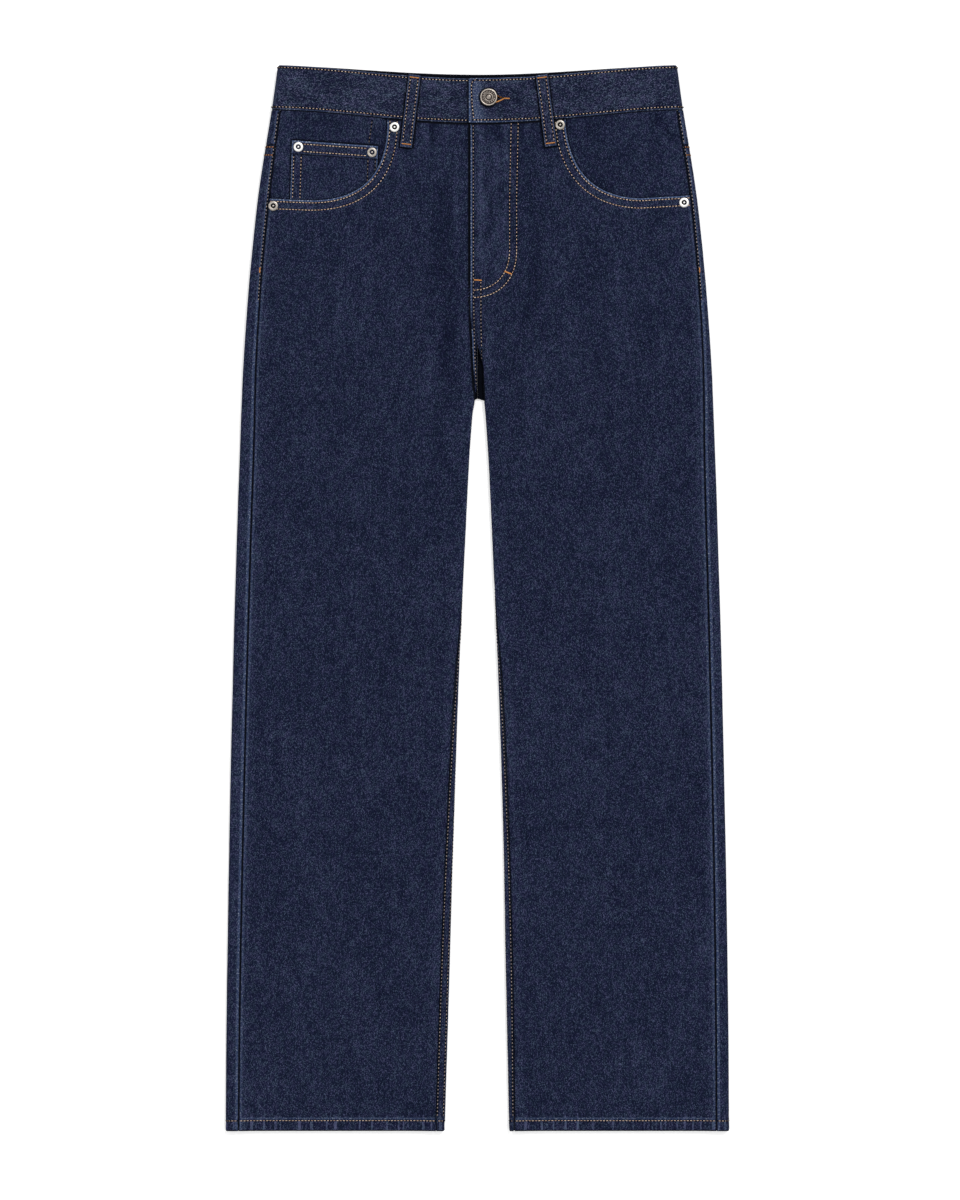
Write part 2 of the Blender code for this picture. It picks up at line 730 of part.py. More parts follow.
def coin_pocket(material, parts):
    """The small pocket on the right facing. Its lower end is inside the big one."""
    x, drop = COIN_CORNER
    across = (math.cos(COIN_LEAN), math.sin(COIN_LEAN))
    down = (-COIN_SKEW, 1.0)
    corners = [(0, 0), (COIN_WIDTH, 0), (COIN_WIDTH, COIN_DEPTH), (0, COIN_DEPTH)]
    outline = [
        (x + across[0] * u + down[0] * v, drop + across[1] * u + down[1] * v)
        for u, v in corners
    ]
    low = read(SECTIONS, "middle", 100) - COIN_BELOW + GAP
    flat_plate("coin_pocket", outline, low, low + WALL, material, parts)


def back_pocket(side, material, parts):
    outline = [(side * across, drop) for across, drop in BACK_POCKET]
    name = f"back_pocket_{named(side)}"
    flat_plate(name, outline, 0.0, TRIM_WALL, material, parts)


def belt_loop(loop, on_front, material, parts):
    """A folded strip, sewn down at both ends and standing a little off the band between."""
    rows, columns = 8, 2
    length = math.hypot(loop.bottom_x - loop.top_x, loop.bottom_drop - loop.top_drop)
    side_x = (loop.bottom_drop - loop.top_drop) / length
    side_drop = -(loop.bottom_x - loop.top_x) / length

    def where(column, row):
        down = row / rows
        off = (column / columns - 0.5) * LOOP_WIDTH
        x = loop.top_x + (loop.bottom_x - loop.top_x) * down + off * side_x
        drop = loop.top_drop + (loop.bottom_drop - loop.top_drop) * down + off * side_drop
        if not on_front:
            return x, LENGTH / 2 - drop, 0.0
        surface = read(SECTIONS, "middle", drop)
        arch = LOOP_ARCH * math.sin(math.pi * down) ** 2
        return x, LENGTH / 2 - drop, surface + GAP + TRIM_WALL + arch

    cloth(loop.name, columns, rows, where, TRIM_WALL, material, parts, flip=not on_front)


def button(material, parts):
    """A shank button: a domed cap with a rolled rim, on a post through the buttonhole."""
    r = BUTTON_RADIUS
    x, drop = BUTTON_PLACE
    band = read(SECTIONS, "middle", drop)
    profile = [(0, 3.1), (2.6, 3.1), (3.2, 2.6), (5.6, 2.5), (6.6, 2.9), (7.6, 2.9)]
    profile += [(r, 2.1), (r, 1.2), (r - 0.8, 0.6), (SHANK_RADIUS, 0.6)]
    profile += [(SHANK_RADIUS, -BAND_RAISE), (0, -BAND_RAISE)]
    base = band + BAND_RAISE + GAP
    turned("button", profile, 24, (x, LENGTH / 2 - drop, base), material, parts)


def rivet(spot, material, parts):
    """A rivet cap: a ring round a sunk middle with the post's nipple in it."""
    r = RIVET_RADIUS
    surface = read(SECTIONS, "middle", spot.drop)
    if spot.lies_on == "coin":
        surface += WALL + GAP - COIN_BELOW
    profile = [(0, 1.3), (0.9, 1.2), (1.2, 0.6), (2.0, 0.6), (2.5, 1.3), (r - 1, 1.3)]
    profile += [(r, 0.8), (r, 0), (0, 0)]
    at = (spot.x, LENGTH / 2 - spot.drop, surface + GAP)
    turned(spot.name, profile, 14, at, material, parts)


def main():
    clear_scene()
    parts = make_collection("straight_leg_jeans")
    cutters = make_collection("cutters")
    denim = make_material("denim", DENIM, 0.85)
    facing_denim = make_material("facing_denim", DENIM_DARK, 0.85)
    nickel = make_material("nickel", NICKEL, 0.35, metallic=1.0)
    waistband(denim, parts, cutters)
    for side in (-1, 1):
        front_panel(side, denim, parts, cutters)
        back_panel(side, denim, parts)
        yoke(side, denim, parts)
        pocket_facing(side, facing_denim, parts)
        back_pocket(side, denim, parts)
    coin_pocket(denim, parts)
    for loop in FRONT_LOOPS:
        belt_loop(loop, True, denim, parts)
    for loop in BACK_LOOPS:
        belt_loop(loop, False, denim, parts)
    button(nickel, parts)
    for spot in RIVETS:
        rivet(spot, nickel, parts)


main()
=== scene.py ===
# %% [markdown]
# # Straight leg jeans, laid flat
#
# The solids of the jeans are already packed in a frame, with every piece at its real size.
# This lesson dresses them: fine cloth over each panel, real stitches, metal and light.
# The frame is loaded first and never changed, so every new piece has a place to fit.
# All sizes are in millimetres and are turned into metres as a mesh is made. Only the recipes
# for materials give theirs in metres, because that is what a shader reads.

# %% Load the frame
import math
from collections import namedtuple

import bmesh
import bpy
import numpy as np
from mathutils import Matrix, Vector
from mathutils.bvhtree import BVHTree


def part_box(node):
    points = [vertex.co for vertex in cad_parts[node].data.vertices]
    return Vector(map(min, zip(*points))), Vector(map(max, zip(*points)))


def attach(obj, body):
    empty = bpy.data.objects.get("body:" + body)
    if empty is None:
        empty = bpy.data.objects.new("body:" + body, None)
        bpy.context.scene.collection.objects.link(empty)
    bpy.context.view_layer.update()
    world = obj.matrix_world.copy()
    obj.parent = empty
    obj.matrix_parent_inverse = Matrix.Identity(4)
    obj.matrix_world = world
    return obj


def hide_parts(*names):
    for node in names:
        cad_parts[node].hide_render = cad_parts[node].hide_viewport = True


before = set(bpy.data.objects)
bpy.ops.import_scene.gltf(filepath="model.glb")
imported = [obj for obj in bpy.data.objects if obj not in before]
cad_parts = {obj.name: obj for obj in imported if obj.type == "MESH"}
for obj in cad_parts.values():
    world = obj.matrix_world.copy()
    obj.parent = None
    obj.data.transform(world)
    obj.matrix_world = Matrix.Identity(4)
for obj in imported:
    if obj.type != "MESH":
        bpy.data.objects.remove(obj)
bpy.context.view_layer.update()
MM = 0.001
print("frame loaded with", len(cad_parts), "nodes")

# %% [markdown]
# ## The garment's own sizes
#
# A place on the cloth has a drop, how far it lies below the waist's corners, and a wrap, how
# far it lies round the leg from the side fold. A pattern cutter works in the same two
# directions. A few rows of sizes for sections across the garment give its whole form,
# because cloth runs smoothly from one section to the next.

# %% Sizes of the laid garment
LENGTH = 1066.0
WALL = 1.2
BAND_WALL = 2.4
TRIM_WALL = 1.8
GAP = 0.3
BAND_HEIGHT = 44.6
FRONT_DIP = 13.4
BACK_DIP = 9.0
DIP_POWER = 1.7
DIP_ENDS_AT = 285.0
CROTCH = 334.7
TURN_STARTS = 285.0
TURN_ENDS = 350.0
INNER_ROOM = WALL + GAP + 0.2
BACK_LIFT = TRIM_WALL + GAP
LIFT_ENDS_FROM = 300.0
LIFT_ENDS_AT = 332.0
FOLD_REACH = 3.0
INNER_REACH = 2.7
SWELL_REACH = 22.0
HEM_HEIGHT = 11.5
HEM_RAISE = 0.9
INSEAM_ROOM = 0.5
FLY_EDGE = -7.0
FLY_WIDTH = 47.0
FLY_LAP = 15.0
FLY_BEND = 187.0
FLY_END = 233.0
FLY_RAISE = WALL + GAP
RISE_LAP = 13.0
BAND_LAP_TO = 28.0
BAND_OVER_FROM = -8.7
BAND_RAISE = BAND_WALL + GAP
YOKE_SIDE = 80.0
YOKE_CENTRE = 122.0
WAIST_AT = 22.0  # drop where the waist is measured, half way down the waistband
FAR = 9.0  # a distance at which an edge no longer marks the cloth

Section = namedtuple("Section", "drop half_width seam_right seam_left middle rim")
SECTIONS = [Section(*row) for row in [
    (0, 199.5, 8.0, 6.0, 7.8, 7.8),
    (45, 205.8, 8.5, 6.0, 7.8, 7.8),
    (125, 218.5, 11.0, 6.0, 7.8, 7.8),
    (205, 227.2, 11.8, 6.8, 7.8, 7.8),
    (255, 231.2, 12.2, 7.2, 7.8, 7.8),
    (300, 234.2, 12.6, 8.2, 7.2, 7.4),
    (336, 235.9, 13.2, 9.2, 6.2, 6.6),
    (395, 238.2, 14.0, 10.8, 5.0, 6.1),
    (455, 240.3, 14.0, 11.4, 4.2, 5.9),
    (605, 244.7, 14.0, 11.8, 3.7, 5.7),
    (805, 249.0, 13.6, 12.1, 3.7, 5.7),
    (955, 251.2, 13.1, 12.4, 3.8, 5.7),
    (1066, 252.0, 13.0, 12.6, 4.0, 5.7),
]]

Inner = namedtuple("Inner", "drop right left inseam_right inseam_left")
INNERS = [Inner(*row) for row in [
    (285, 0.6, 1.2, -5.0, -5.0),
    (305, 1.2, 4.8, -5.0, -5.0),
    (335, 2.6, 6.6, -5.0, -5.0),
    (350, 5.0, 8.1, -5.0, -5.0),
    (405, 8.7, 11.7, -4.6, -4.6),
    (505, 13.7, 16.3, -1.0, -1.0),
    (605, 18.3, 20.7, 4.7, 4.5),
    (755, 23.6, 25.7, 8.2, 6.9),
    (905, 27.8, 28.7, 10.5, 8.1),
    (1066, 32.7, 32.0, 10.7, 6.8),
]]

Edge = namedtuple("Edge", "drop right left")
CENTRE_EDGES = [
    Edge(0, FLY_EDGE + FLY_LAP, FLY_EDGE),
    Edge(218, FLY_EDGE + FLY_LAP, FLY_EDGE),
    Edge(236, FLY_EDGE - GAP, FLY_EDGE),
    Edge(262, -5.0, -6.2),
    Edge(285, -0.6, 1.2),
]

# %% [markdown]
# ## Reading the rows
#
# A sheet has tens of thousands of points, so each function works on whole arrays at once.
# Between two rows the sizes follow a smooth cubic, as a tailor's curve runs through its marks.

# %% Read a column of sizes at any drop


def smooth(start, end, value):
    """0 before start, 1 after end, and an S-shaped rise between."""
    t = np.clip((np.asarray(value, float) - start) / (end - start), 0, 1)
    return t * t * (3 - 2 * t)


def bell(value, middle, width):
    """1 at the middle, and almost 0 at twice this width from it."""
    return np.exp(-(((value - middle) / width) ** 2))


def read(table, column, drop):
    """A table's column at any drops, on a curve through its rows."""
    at = np.array([row.drop for row in table], float)
    value = np.array([getattr(row, column) for row in table], float)
    drop = np.clip(drop, at[0], at[-1])
    after = np.clip(np.searchsorted(at, drop), 1, len(at) - 1)
    before = after - 1
    earlier = np.maximum(before - 1, 0)
    later = np.minimum(after + 1, len(at) - 1)
    span = at[after] - at[before]
    slope_in = (value[after] - value[earlier]) / (at[after] - at[earlier]) * span
    slope_out = (value[later] - value[before]) / (at[later] - at[before]) * span
    t = (drop - at[before]) / span
    return (
        (2 * t**3 - 3 * t**2 + 1) * value[before]
        + (t**3 - 2 * t**2 + t) * slope_in
        + (3 * t**2 - 2 * t**3) * value[after]
        + (t**3 - t**2) * slope_out
    )


def named(side):
    """The wearer's side: right is at -X, and left is at +X."""
    return "right" if side < 0 else "left"


print("half width at the hem", float(read(SECTIONS, "half_width", LENGTH)), "mm")

# %% [markdown]
# ## Creases and drape
#
# Denim that has been pressed and laid down keeps a few long soft creases. Each one here is a
# trough or a ridge with its own place, length, width and lean, so no two are alike. The first
# eight are in the frame's solids too, and the rest are the shallow ones that cloth adds. A
# few places only have painted shade or painted light, darker or paler than the cloth round
# them as a soft fold would shade them, and they have rows as well.

# %% Place the creases
Crease = namedtuple("Crease", "x from_drop to_drop width depth lean")
CREASES = [Crease(*row) for row in [
    (-150, 330, 620, 26, 0.5, 26),
    (-70, 380, 700, 24, -0.6, -18),
    (-180, 640, 960, 28, 0.5, 20),
    (-96, 700, 1010, 30, 0.5, -14),
    (160, 320, 600, 26, 0.5, -24),
    (84, 400, 730, 26, -0.6, 20),
    (190, 660, 940, 28, 0.5, -18),
    (104, 720, 1020, 30, 0.5, 12),
]]
DRAPES = [
    Crease(-31, 20, 410, 7.5, 0.34, -1),
    Crease(-43, 40, 330, 8.0, 0.12, 2),
    Crease(-21.5, 48, 240, 3.2, -0.30, 1),
    Crease(-60, 54, 130, 6.0, -0.18, 4),
    Crease(51, 36, 262, 6.5, 0.40, 8),
    Crease(66, 50, 170, 7.0, -0.16, 2),
    Crease(9, 66, 210, 4.5, -0.16, 1),
    Crease(-16, 200, 330, 7.0, 0.45, -22),
    Crease(-34, 230, 400, 8.0, -0.35, -30),
    Crease(18, 236, 345, 7.0, 0.45, 24),
    Crease(40, 250, 420, 9.0, -0.35, 26),
    Crease(-12.5, 215, 320, 2.6, -0.35, 3),
    Crease(-9, 270, 420, 2.6, -0.35, -9),
    Crease(10.5, 215, 350, 2.6, -0.40, 1),
    Crease(-120, 160, 330, 16, -0.3, -30),
    Crease(128, 150, 320, 16, -0.3, 28),
]
# Rows of painted shade and light, with no height. The depth is how much darker the painted
# shade makes the cloth, or how much paler the painted light makes it where it is below 0.
PAINTED_SHADING = [Crease(*row) for row in [
    (60, 150, 290, 10, 0.46, -4),
    (27, 50, 190, 4, 0.24, 0),
    (68, 28, 100, 9, 0.75, 0),
    (-9, 28, 100, 5, 0.75, 0),
    (-9, 150, 230, 5, 0.26, 0),
    (-22, 262, 360, 9, 0.20, 4),
    (22, 160, 205, 5, 0.22, 0),
    (172, 215, 300, 14, 0.22, 0),
    (-19, 60, 190, 4, -0.32, -3),
    (-30, 60, 130, 3, -0.26, 2),
]]


def crease_height(creases, x, drop):
    """Height that the creases add at these places."""
    total = np.zeros(np.broadcast(x, drop).shape)
    for crease in creases:
        along = np.clip((drop - crease.from_drop) / (crease.to_drop - crease.from_drop), 0, 1)
        off = (x - crease.x - crease.lean * along) / crease.width
        total -= crease.depth * np.sin(math.pi * along) ** 2 * np.exp(-off * off)
    return total


TURNS = 1024  # random turns in a line before it repeats
HILLS = 128  # the same along each side of a surface
HILLS_START = (50.3, 50.7)


def waver(at, period, seed):
    """A smooth random line from -1 to 1, with a new turn every period."""
    turns = np.random.default_rng(seed).uniform(-1, 1, TURNS)
    place = np.asarray(at, float) / period
    cell = np.floor(place).astype(int)
    t = place - cell
    t = t * t * (3 - 2 * t)
    return turns[cell % TURNS] * (1 - t) + turns[(cell + 1) % TURNS] * t


def rumple(x, y, size, seed):
    """A smooth random surface from -1 to 1, with hills about this size."""
    hills = np.random.default_rng(seed).uniform(-1, 1, (HILLS, HILLS))
    px, py = np.asarray(x) / size + HILLS_START[0], np.asarray(y) / size + HILLS_START[1]
    i, j = np.floor(px).astype(int), np.floor(py).astype(int)
    s, t = px - i, py - j
    s, t = s * s * (3 - 2 * s), t * t * (3 - 2 * t)
    i, j, i2, j2 = i % HILLS, j % HILLS, (i + 1) % HILLS, (j + 1) % HILLS
    low = hills[i, j] * (1 - s) + hills[i2, j] * s
    high = hills[i, j2] * (1 - s) + hills[i2, j2] * s
    return low * (1 - t) + high * t


print(len(CREASES) + len(DRAPES), "creases placed")

# %% [markdown]
# ## The laid form
#
# Each leg is a flattened tube with a rounded fold down its outer side and, below the crotch,
# another down its inner side. One function turns wrap and drop into a point of the outer
# face. Every panel is cut from it, as every real panel takes the form of the leg it is in.

# %% The skin that all panels are cut from


def lift(drop):
    """Height of the back's underside, over the pockets and loops at the seat."""
    return BACK_LIFT * (1 - smooth(LIFT_ENDS_FROM, LIFT_ENDS_AT, drop))


def fly_raise(x, drop):
    """How far the left front stands up over the fly and the lapped rise seam."""
    bend = np.maximum(0.0, drop - FLY_BEND) / (FLY_END - FLY_BEND)
    away = np.hypot(np.maximum(0.0, x - FLY_EDGE) / FLY_WIDTH, bend)
    over_fly = 1 - smooth(0.98, 1.26, away)
    lap_end = read(CENTRE_EDGES, "left", drop) + RISE_LAP
    over_rise = (1 - smooth(lap_end - 3, lap_end + 3, x)) * (1 - smooth(262, 290, drop))
    return FLY_RAISE * np.maximum(over_fly, over_rise)


def front_height(side, across, drop):
    """Height of the front's outer face, at a distance across from the middle."""
    fold = read(SECTIONS, "half_width", drop) - across
    inner = across - read(INNERS, named(side), drop)
    parted = smooth(CROTCH - 14, CROTCH + 14, drop)
    swell = bell(fold, 0, SWELL_REACH) + parted * bell(inner, 0, SWELL_REACH)
    middle = read(SECTIONS, "middle", drop)
    rim = read(SECTIONS, "rim", drop)
    hem = HEM_RAISE * smooth(LENGTH - HEM_HEIGHT - 1, LENGTH - HEM_HEIGHT, drop)
    height = middle + (rim - middle) * np.minimum(swell, 1.0) + hem
    return height + crease_height(CREASES, side * across, drop)


def quarter(reach, height):
    """Length of a quarter of an ellipse."""
    return math.pi / 2 * np.sqrt((reach * reach + height * height) / 2)


Folds = namedtuple("Folds", "half under top arc inner reach floor half_height inner_arc flat")


def section(side, drop):
    """All that places a point round the leg at these drops."""
    half = read(SECTIONS, "half_width", drop)
    under = lift(drop)
    top = front_height(side, half - FOLD_REACH, drop)
    arc = quarter(FOLD_REACH, (top - under) / 2)
    parted = drop >= TURN_STARTS
    centre = side * read(CENTRE_EDGES, named(side), drop)
    inner = np.where(parted, read(INNERS, named(side), drop), centre)
    turn = np.where(parted, smooth(TURN_STARTS, TURN_STARTS + 25, drop), 0.0)
    reach = INNER_REACH * turn
    floor = under + INNER_ROOM * (1 - smooth(CROTCH, TURN_ENDS, drop))
    half_height = (front_height(side, inner + reach, drop) - floor) / 2
    inner_arc = np.where(turn > 0, quarter(reach, half_height), 0.0)
    flat = half - FOLD_REACH - inner - reach
    return Folds(half, under, top, arc, inner, reach, floor, half_height, inner_arc, flat)


def skin(side, wrap, drop):
    """Points of the outer face. wrap is 0 at the side fold, and above 0 on the front."""
    wrap, drop = np.broadcast_arrays(np.asarray(wrap, float), np.asarray(drop, float))
    s = section(side, drop)
    far = np.abs(wrap)
    mid = (s.top + s.under) / 2
    angle = wrap / s.arc * math.pi / 2
    fold_x = s.half - FOLD_REACH * (1 - np.cos(angle))
    fold_z = mid + (s.top - mid) * np.sin(angle)
    along = far - s.arc
    flat_x = s.half - FOLD_REACH - along
    flat_z = np.where(wrap > 0, front_height(side, flat_x, drop), s.under)
    turned = (along - s.flat) / np.maximum(2 * s.inner_arc, 1e-6)
    bend = np.clip(turned, 0, 1) * math.pi
    turn_x = s.inner + s.reach * (1 - np.sin(bend))
    turn_z = s.floor + s.half_height * (1 + np.cos(bend) * np.where(wrap > 0, 1, -1))
    over_x = s.inner + s.reach + along - s.flat - 2 * s.inner_arc
    over_z = np.where(wrap > 0, s.floor, front_height(side, over_x, drop))
    closed = (turned <= 0) | (s.inner_arc == 0) | ((wrap < 0) & (drop < CROTCH + 1))
    kinds = [far <= s.arc, closed, turned <= 1]
    x = side * np.select(kinds, [fold_x, flat_x, turn_x], over_x)
    z = np.select(kinds, [fold_z, flat_z, turn_z], over_z)
    return np.stack([x, LENGTH / 2 - drop, z], axis=-1)


def outward(side, wrap, drop, step=0.35):
    """Directions straight out of the skin."""
    round_leg = skin(side, wrap + step, drop) - skin(side, wrap - step, drop)
    down_leg = skin(side, wrap, drop + step) - skin(side, wrap, drop - step)
    out = side * np.cross(round_leg, down_leg)
    return out / np.maximum(np.linalg.norm(out, axis=-1, keepdims=True), 1e-9)


def seam_wrap(side, drop):
    """Wrap of the side seam, which shows on the front beside the fold."""
    inset = read(SECTIONS, "seam_" + named(side), drop)
    return section(side, drop).arc + inset - FOLD_REACH


def inseam_room(side, drop):
    """Extra room at the inseam where it crosses the inner fold."""
    off = read(INNERS, "inseam_" + named(side), drop)
    return np.where(drop < TURN_STARTS, 0, INSEAM_ROOM * (1 - smooth(5, 9.5, np.abs(off))))


def back_room(side, drop):
    """The same for a back panel, with no room above the crotch."""
    open_by = GAP / 2 - 0.02 + inseam_room(side, drop)
    return 0.02 + open_by * smooth(CROTCH - 1, CROTCH + 10, drop)


def front_end(side, drop):
    """Wrap of the front's inner edge: the centre edge, or the inseam lower down."""
    s = section(side, drop)
    inseam = read(INNERS, "inseam_" + named(side), drop)
    return s.arc + s.flat + smooth(TURN_STARTS, TURN_ENDS, drop) * (s.inner_arc - inseam)


def back_end(side, drop):
    """Wrap of the back's inner edge, below zero: the centre back seam, then the inseam."""
    s = section(side, drop)
    inseam = read(INNERS, "inseam_" + named(side), drop)
    centre = s.arc + s.half - FOLD_REACH
    return -np.where(drop < CROTCH + 1, centre, s.arc + s.flat + s.inner_arc + inseam)


def dip(across, depth, drop):
    """How far the waist's curve has dropped here. It fades out down the hips."""
    half = float(read(SECTIONS, "half_width", WAIST_AT))
    angle = math.pi / 2 * np.minimum(1.0, np.abs(across) / half)
    return depth * np.maximum(0.0, np.cos(angle)) ** DIP_POWER * (1 - smooth(60, DIP_ENDS_AT, drop))


print("side fold's arc at the hip", round(float(section(-1, 150.0).arc), 2), "mm")

# %% [markdown]
# ## How a sheet becomes cloth
#
# A sheet starts as a grid of points. Its columns and rows crowd together beside seams and
# hems, where cloth rolls and puckers, and spread out on the flat. Solidify then gives it the
# real thickness of the denim, with the paler inside of the weave as a second material.
# Four values are kept on every point for the finish: where it lies along the threads, how
# far it is from a marked edge, that edge's mark, which is worn pale and partly a painted
# highlight above 0 and painted shade below 0, and how much paler or darker the cloth is
# there, from fading and from painted light and shade on folds, ridges and hollows.

# %% Grids and meshes for cloth


def spaced(length, step_at, count=None):
    """Shares of a length, from 0 to 1, whose spacing in millimetres follows step_at."""
    s = np.linspace(0, length, 2001)
    density = 1 / step_at(s)
    total = np.concatenate([[0], np.cumsum((density[1:] + density[:-1]) / 2 * np.diff(s))])
    count = count or max(2, math.ceil(total[-1]))
    return np.interp(np.linspace(0, total[-1], count + 1), total, s) / length


def fine_at_ends(length, fine, coarse, start=16.0, end=16.0, count=None):
    """The same, with fine steps near each end and coarse ones between."""

    def step_at(s):
        open_from = smooth(start * 0.5, start * 1.6, s) if start else 1.0
        open_to = smooth(end * 0.5, end * 1.6, length - s) if end else 1.0
        return fine + (coarse - fine) * np.minimum(open_from, open_to)

    return spaced(length, step_at, count)


def sized(wrap, drop):
    """Width, length and area in metres of a cut, from its grid's flat places."""
    a = np.stack([wrap[1:, 1:] - wrap[:-1, :-1], drop[1:, 1:] - drop[:-1, :-1]])
    b = np.stack([wrap[1:, :-1] - wrap[:-1, 1:], drop[1:, :-1] - drop[:-1, 1:]])
    area = np.abs(a[0] * b[1] - a[1] * b[0]).sum() / 2
    return np.ptp(wrap) * MM, np.ptp(drop) * MM, area * MM * MM


def normals_of(points, up):
    """Directions straight out of a grid, on the side that up points to."""
    out = np.cross(np.gradient(points, axis=1), np.gradient(points, axis=0))
    out /= np.maximum(np.linalg.norm(out, axis=-1, keepdims=True), 1e-9)
    return out if (out[..., 2].mean() > 0) == (up > 0) else -out


def laid(x, drop, z):
    """Points of a piece that lies flat on others."""
    return np.stack([x, LENGTH / 2 - drop, z], axis=-1)


def put(mesh, name, kind, values):
    """Keep a value on every point of a mesh."""
    layer = mesh.attributes.new(name, kind, "POINT")
    layer.data.foreach_set("vector" if kind == "FLOAT_VECTOR" else "value", values.ravel())


def place_mesh(name, mesh, materials, smooth_above=40):
    """A shaded object that rides on the garment's one body."""
    for material in materials:
        mesh.materials.append(material)
    mesh.shade_smooth()
    mesh.set_sharp_from_angle(angle=math.radians(smooth_above))
    obj = bpy.data.objects.new(name, mesh)
    bpy.context.scene.collection.objects.link(obj)
    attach(obj, "root")
    return obj


def cloth(name, node, grids, wall=WALL, materials=()):
    """Cloth in a node's place, from grids of (points, out, grain, edge, wear, fade)."""
    points, faces, grain, edge, wear, fade = [], [], [], [], [], []
    for grid, out, where, distance, worn, faded_and_shaded in grids:
        rows, columns = grid.shape[:2]
        index = np.arange(rows * columns).reshape(rows, columns) + sum(len(p) for p in points)
        quads = [index[:-1, :-1], index[:-1, 1:], index[1:, 1:], index[1:, :-1]]
        middle = (rows // 2, columns // 2)
        after = (middle[0] + 1, middle[1] + 1)
        right = grid[middle[0], after[1]] - grid[middle]
        down = grid[after[0], middle[1]] - grid[middle]
        if np.dot(np.cross(right, down), out[middle]) < 0:
            quads = quads[::-1]
        faces.append(np.stack([q.ravel() for q in quads], axis=1))
        points.append(grid.reshape(-1, 3) * MM)
        grain.append(where.reshape(-1, 3) * MM)
        edge.append(np.broadcast_to(distance, grid.shape[:2]).ravel())
        wear.append(np.broadcast_to(worn, grid.shape[:2]).ravel())
        fade.append(np.broadcast_to(faded_and_shaded, grid.shape[:2]).ravel())
    mesh = bpy.data.meshes.new(name)
    mesh.from_pydata(np.concatenate(points), [], np.concatenate(faces).tolist())
    put(mesh, "cloth", "FLOAT_VECTOR", np.concatenate(grain))
    put(mesh, "edge", "FLOAT", np.concatenate(edge))
    # The edge's mark is worn pale and partly a painted highlight above 0, and painted shade below 0.
    # The last value mixes fading with painted light and shade.
    put(mesh, "wear", "FLOAT", np.concatenate(wear))
    put(mesh, "fade", "FLOAT", np.concatenate(fade))
    if len(grids) > 1:
        bm = bmesh.new()
        bm.from_mesh(mesh)
        rim = [vert for vert in bm.verts if vert.is_boundary]
        bmesh.ops.remove_doubles(bm, verts=rim, dist=0.00001)
        bm.to_mesh(mesh)
        bm.free()
    obj = place_mesh(name, mesh, materials or [body_denim, inside_denim])
    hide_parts(node)
    shell = obj.modifiers.new("wall", "SOLIDIFY")
    shell.thickness = wall * MM
    shell.offset = -1
    shell.use_even_offset = True
    shell.material_offset = 1
    shell.material_offset_rim = 0
    print(name, len(mesh.polygons) * 4, "triangles")
    return obj


# %% [markdown]
# ## What sewing does to the surface
#
# Cloth rolls down into a seam, lies thicker over the seam's turned edges, puckers where the
# thread pulls it in, and sinks along each row of stitches. Each effect is a small height that
# depends on the distance from the seam, so the same few functions serve every piece. An edge
# also has a mark: above 0 it is worn pale, partly as a painted highlight, and below 0 it is
# painted dark with the shade of a seam.

# %% Heights that sewing adds


def roll(distance, reach=1.5, depth=0.55):
    """The edge of a piece rounding down."""
    return -depth * (1 - np.clip(distance / reach, 0, 1)) ** 2


def bulk(distance, width, height):
    """The thickness of turned cloth beside a seam, ending in a soft step."""
    return height * (1 - smooth(width - 1.0, width + 2.5, distance))


def groove(distance, depth=0.22, width=0.9):
    """The line that a row of stitches sinks in."""
    return -depth * bell(distance, 0, width)


def pucker(along, distance, reach, period, height, seed):
    """Uneven little ridges that run out from a row of stitches."""
    ridge = waver(along, period, seed) + 0.5 * waver(along + 3.1, period * 0.55, seed + 1)
    fade = np.exp(-np.maximum(distance, 0) / (reach * (1 + 0.5 * waver(along, period * 1.7, seed))))
    return height * ridge * fade


def unrest(x, drop, seed):
    """The slight unevenness of cloth that lies by itself."""
    broad = 0.28 * rumple(x, drop * 0.6, 46, seed)
    return broad + 0.10 * rumple(x, drop * 0.8, 17, seed + 1)


def nearest_edge(edges, shape):
    """The nearest of some (distance, mark) edges at each place."""
    distance = np.stack([np.broadcast_to(np.maximum(away, 0), shape) for away, _ in edges])
    marks = np.stack([np.broadcast_to(mark, shape) for _, mark in edges])
    nearest = distance.argmin(axis=0)[None]
    return np.take_along_axis(distance, nearest, 0)[0], np.take_along_axis(marks, nearest, 0)[0]


print("a seam's edge rounds down by", -float(roll(0.0)), "mm")

# %% [markdown]
# ## Indigo denim, as a recipe of nodes
#
# In denim the dyed warp lies over three white weft threads and under one, a step further on
# each row, which makes slanting lines. The recipe reads the place along the threads that the
# mesh carries, so the slant turns with each piece as it was cut. It parts the cloth into
# short lengths of warp, each with its own depth of dye, a point of white weft at its tip,
# painted shade along its sides, and now and then a pale knot of fibre. Long thin noise gives
# the uneven warp, and wide noise the uneven dye. Ribs show along a hem, where the turned cloth
# has twisted. Worn edges go pale, partly as a painted highlight, and shade is painted into the
# bottom of a seam, and from ambient occlusion into every hollow and under raised edges.

# %% Short ways to join nodes


def srgb(red, green, blue):
    """A screen colour as the linear values that a shader reads."""
    shares = [value / 255 for value in (red, green, blue)]
    linear = [s / 12.92 if s <= 0.04045 else ((s + 0.055) / 1.055) ** 2.4 for s in shares]
    return (*linear, 1.0)


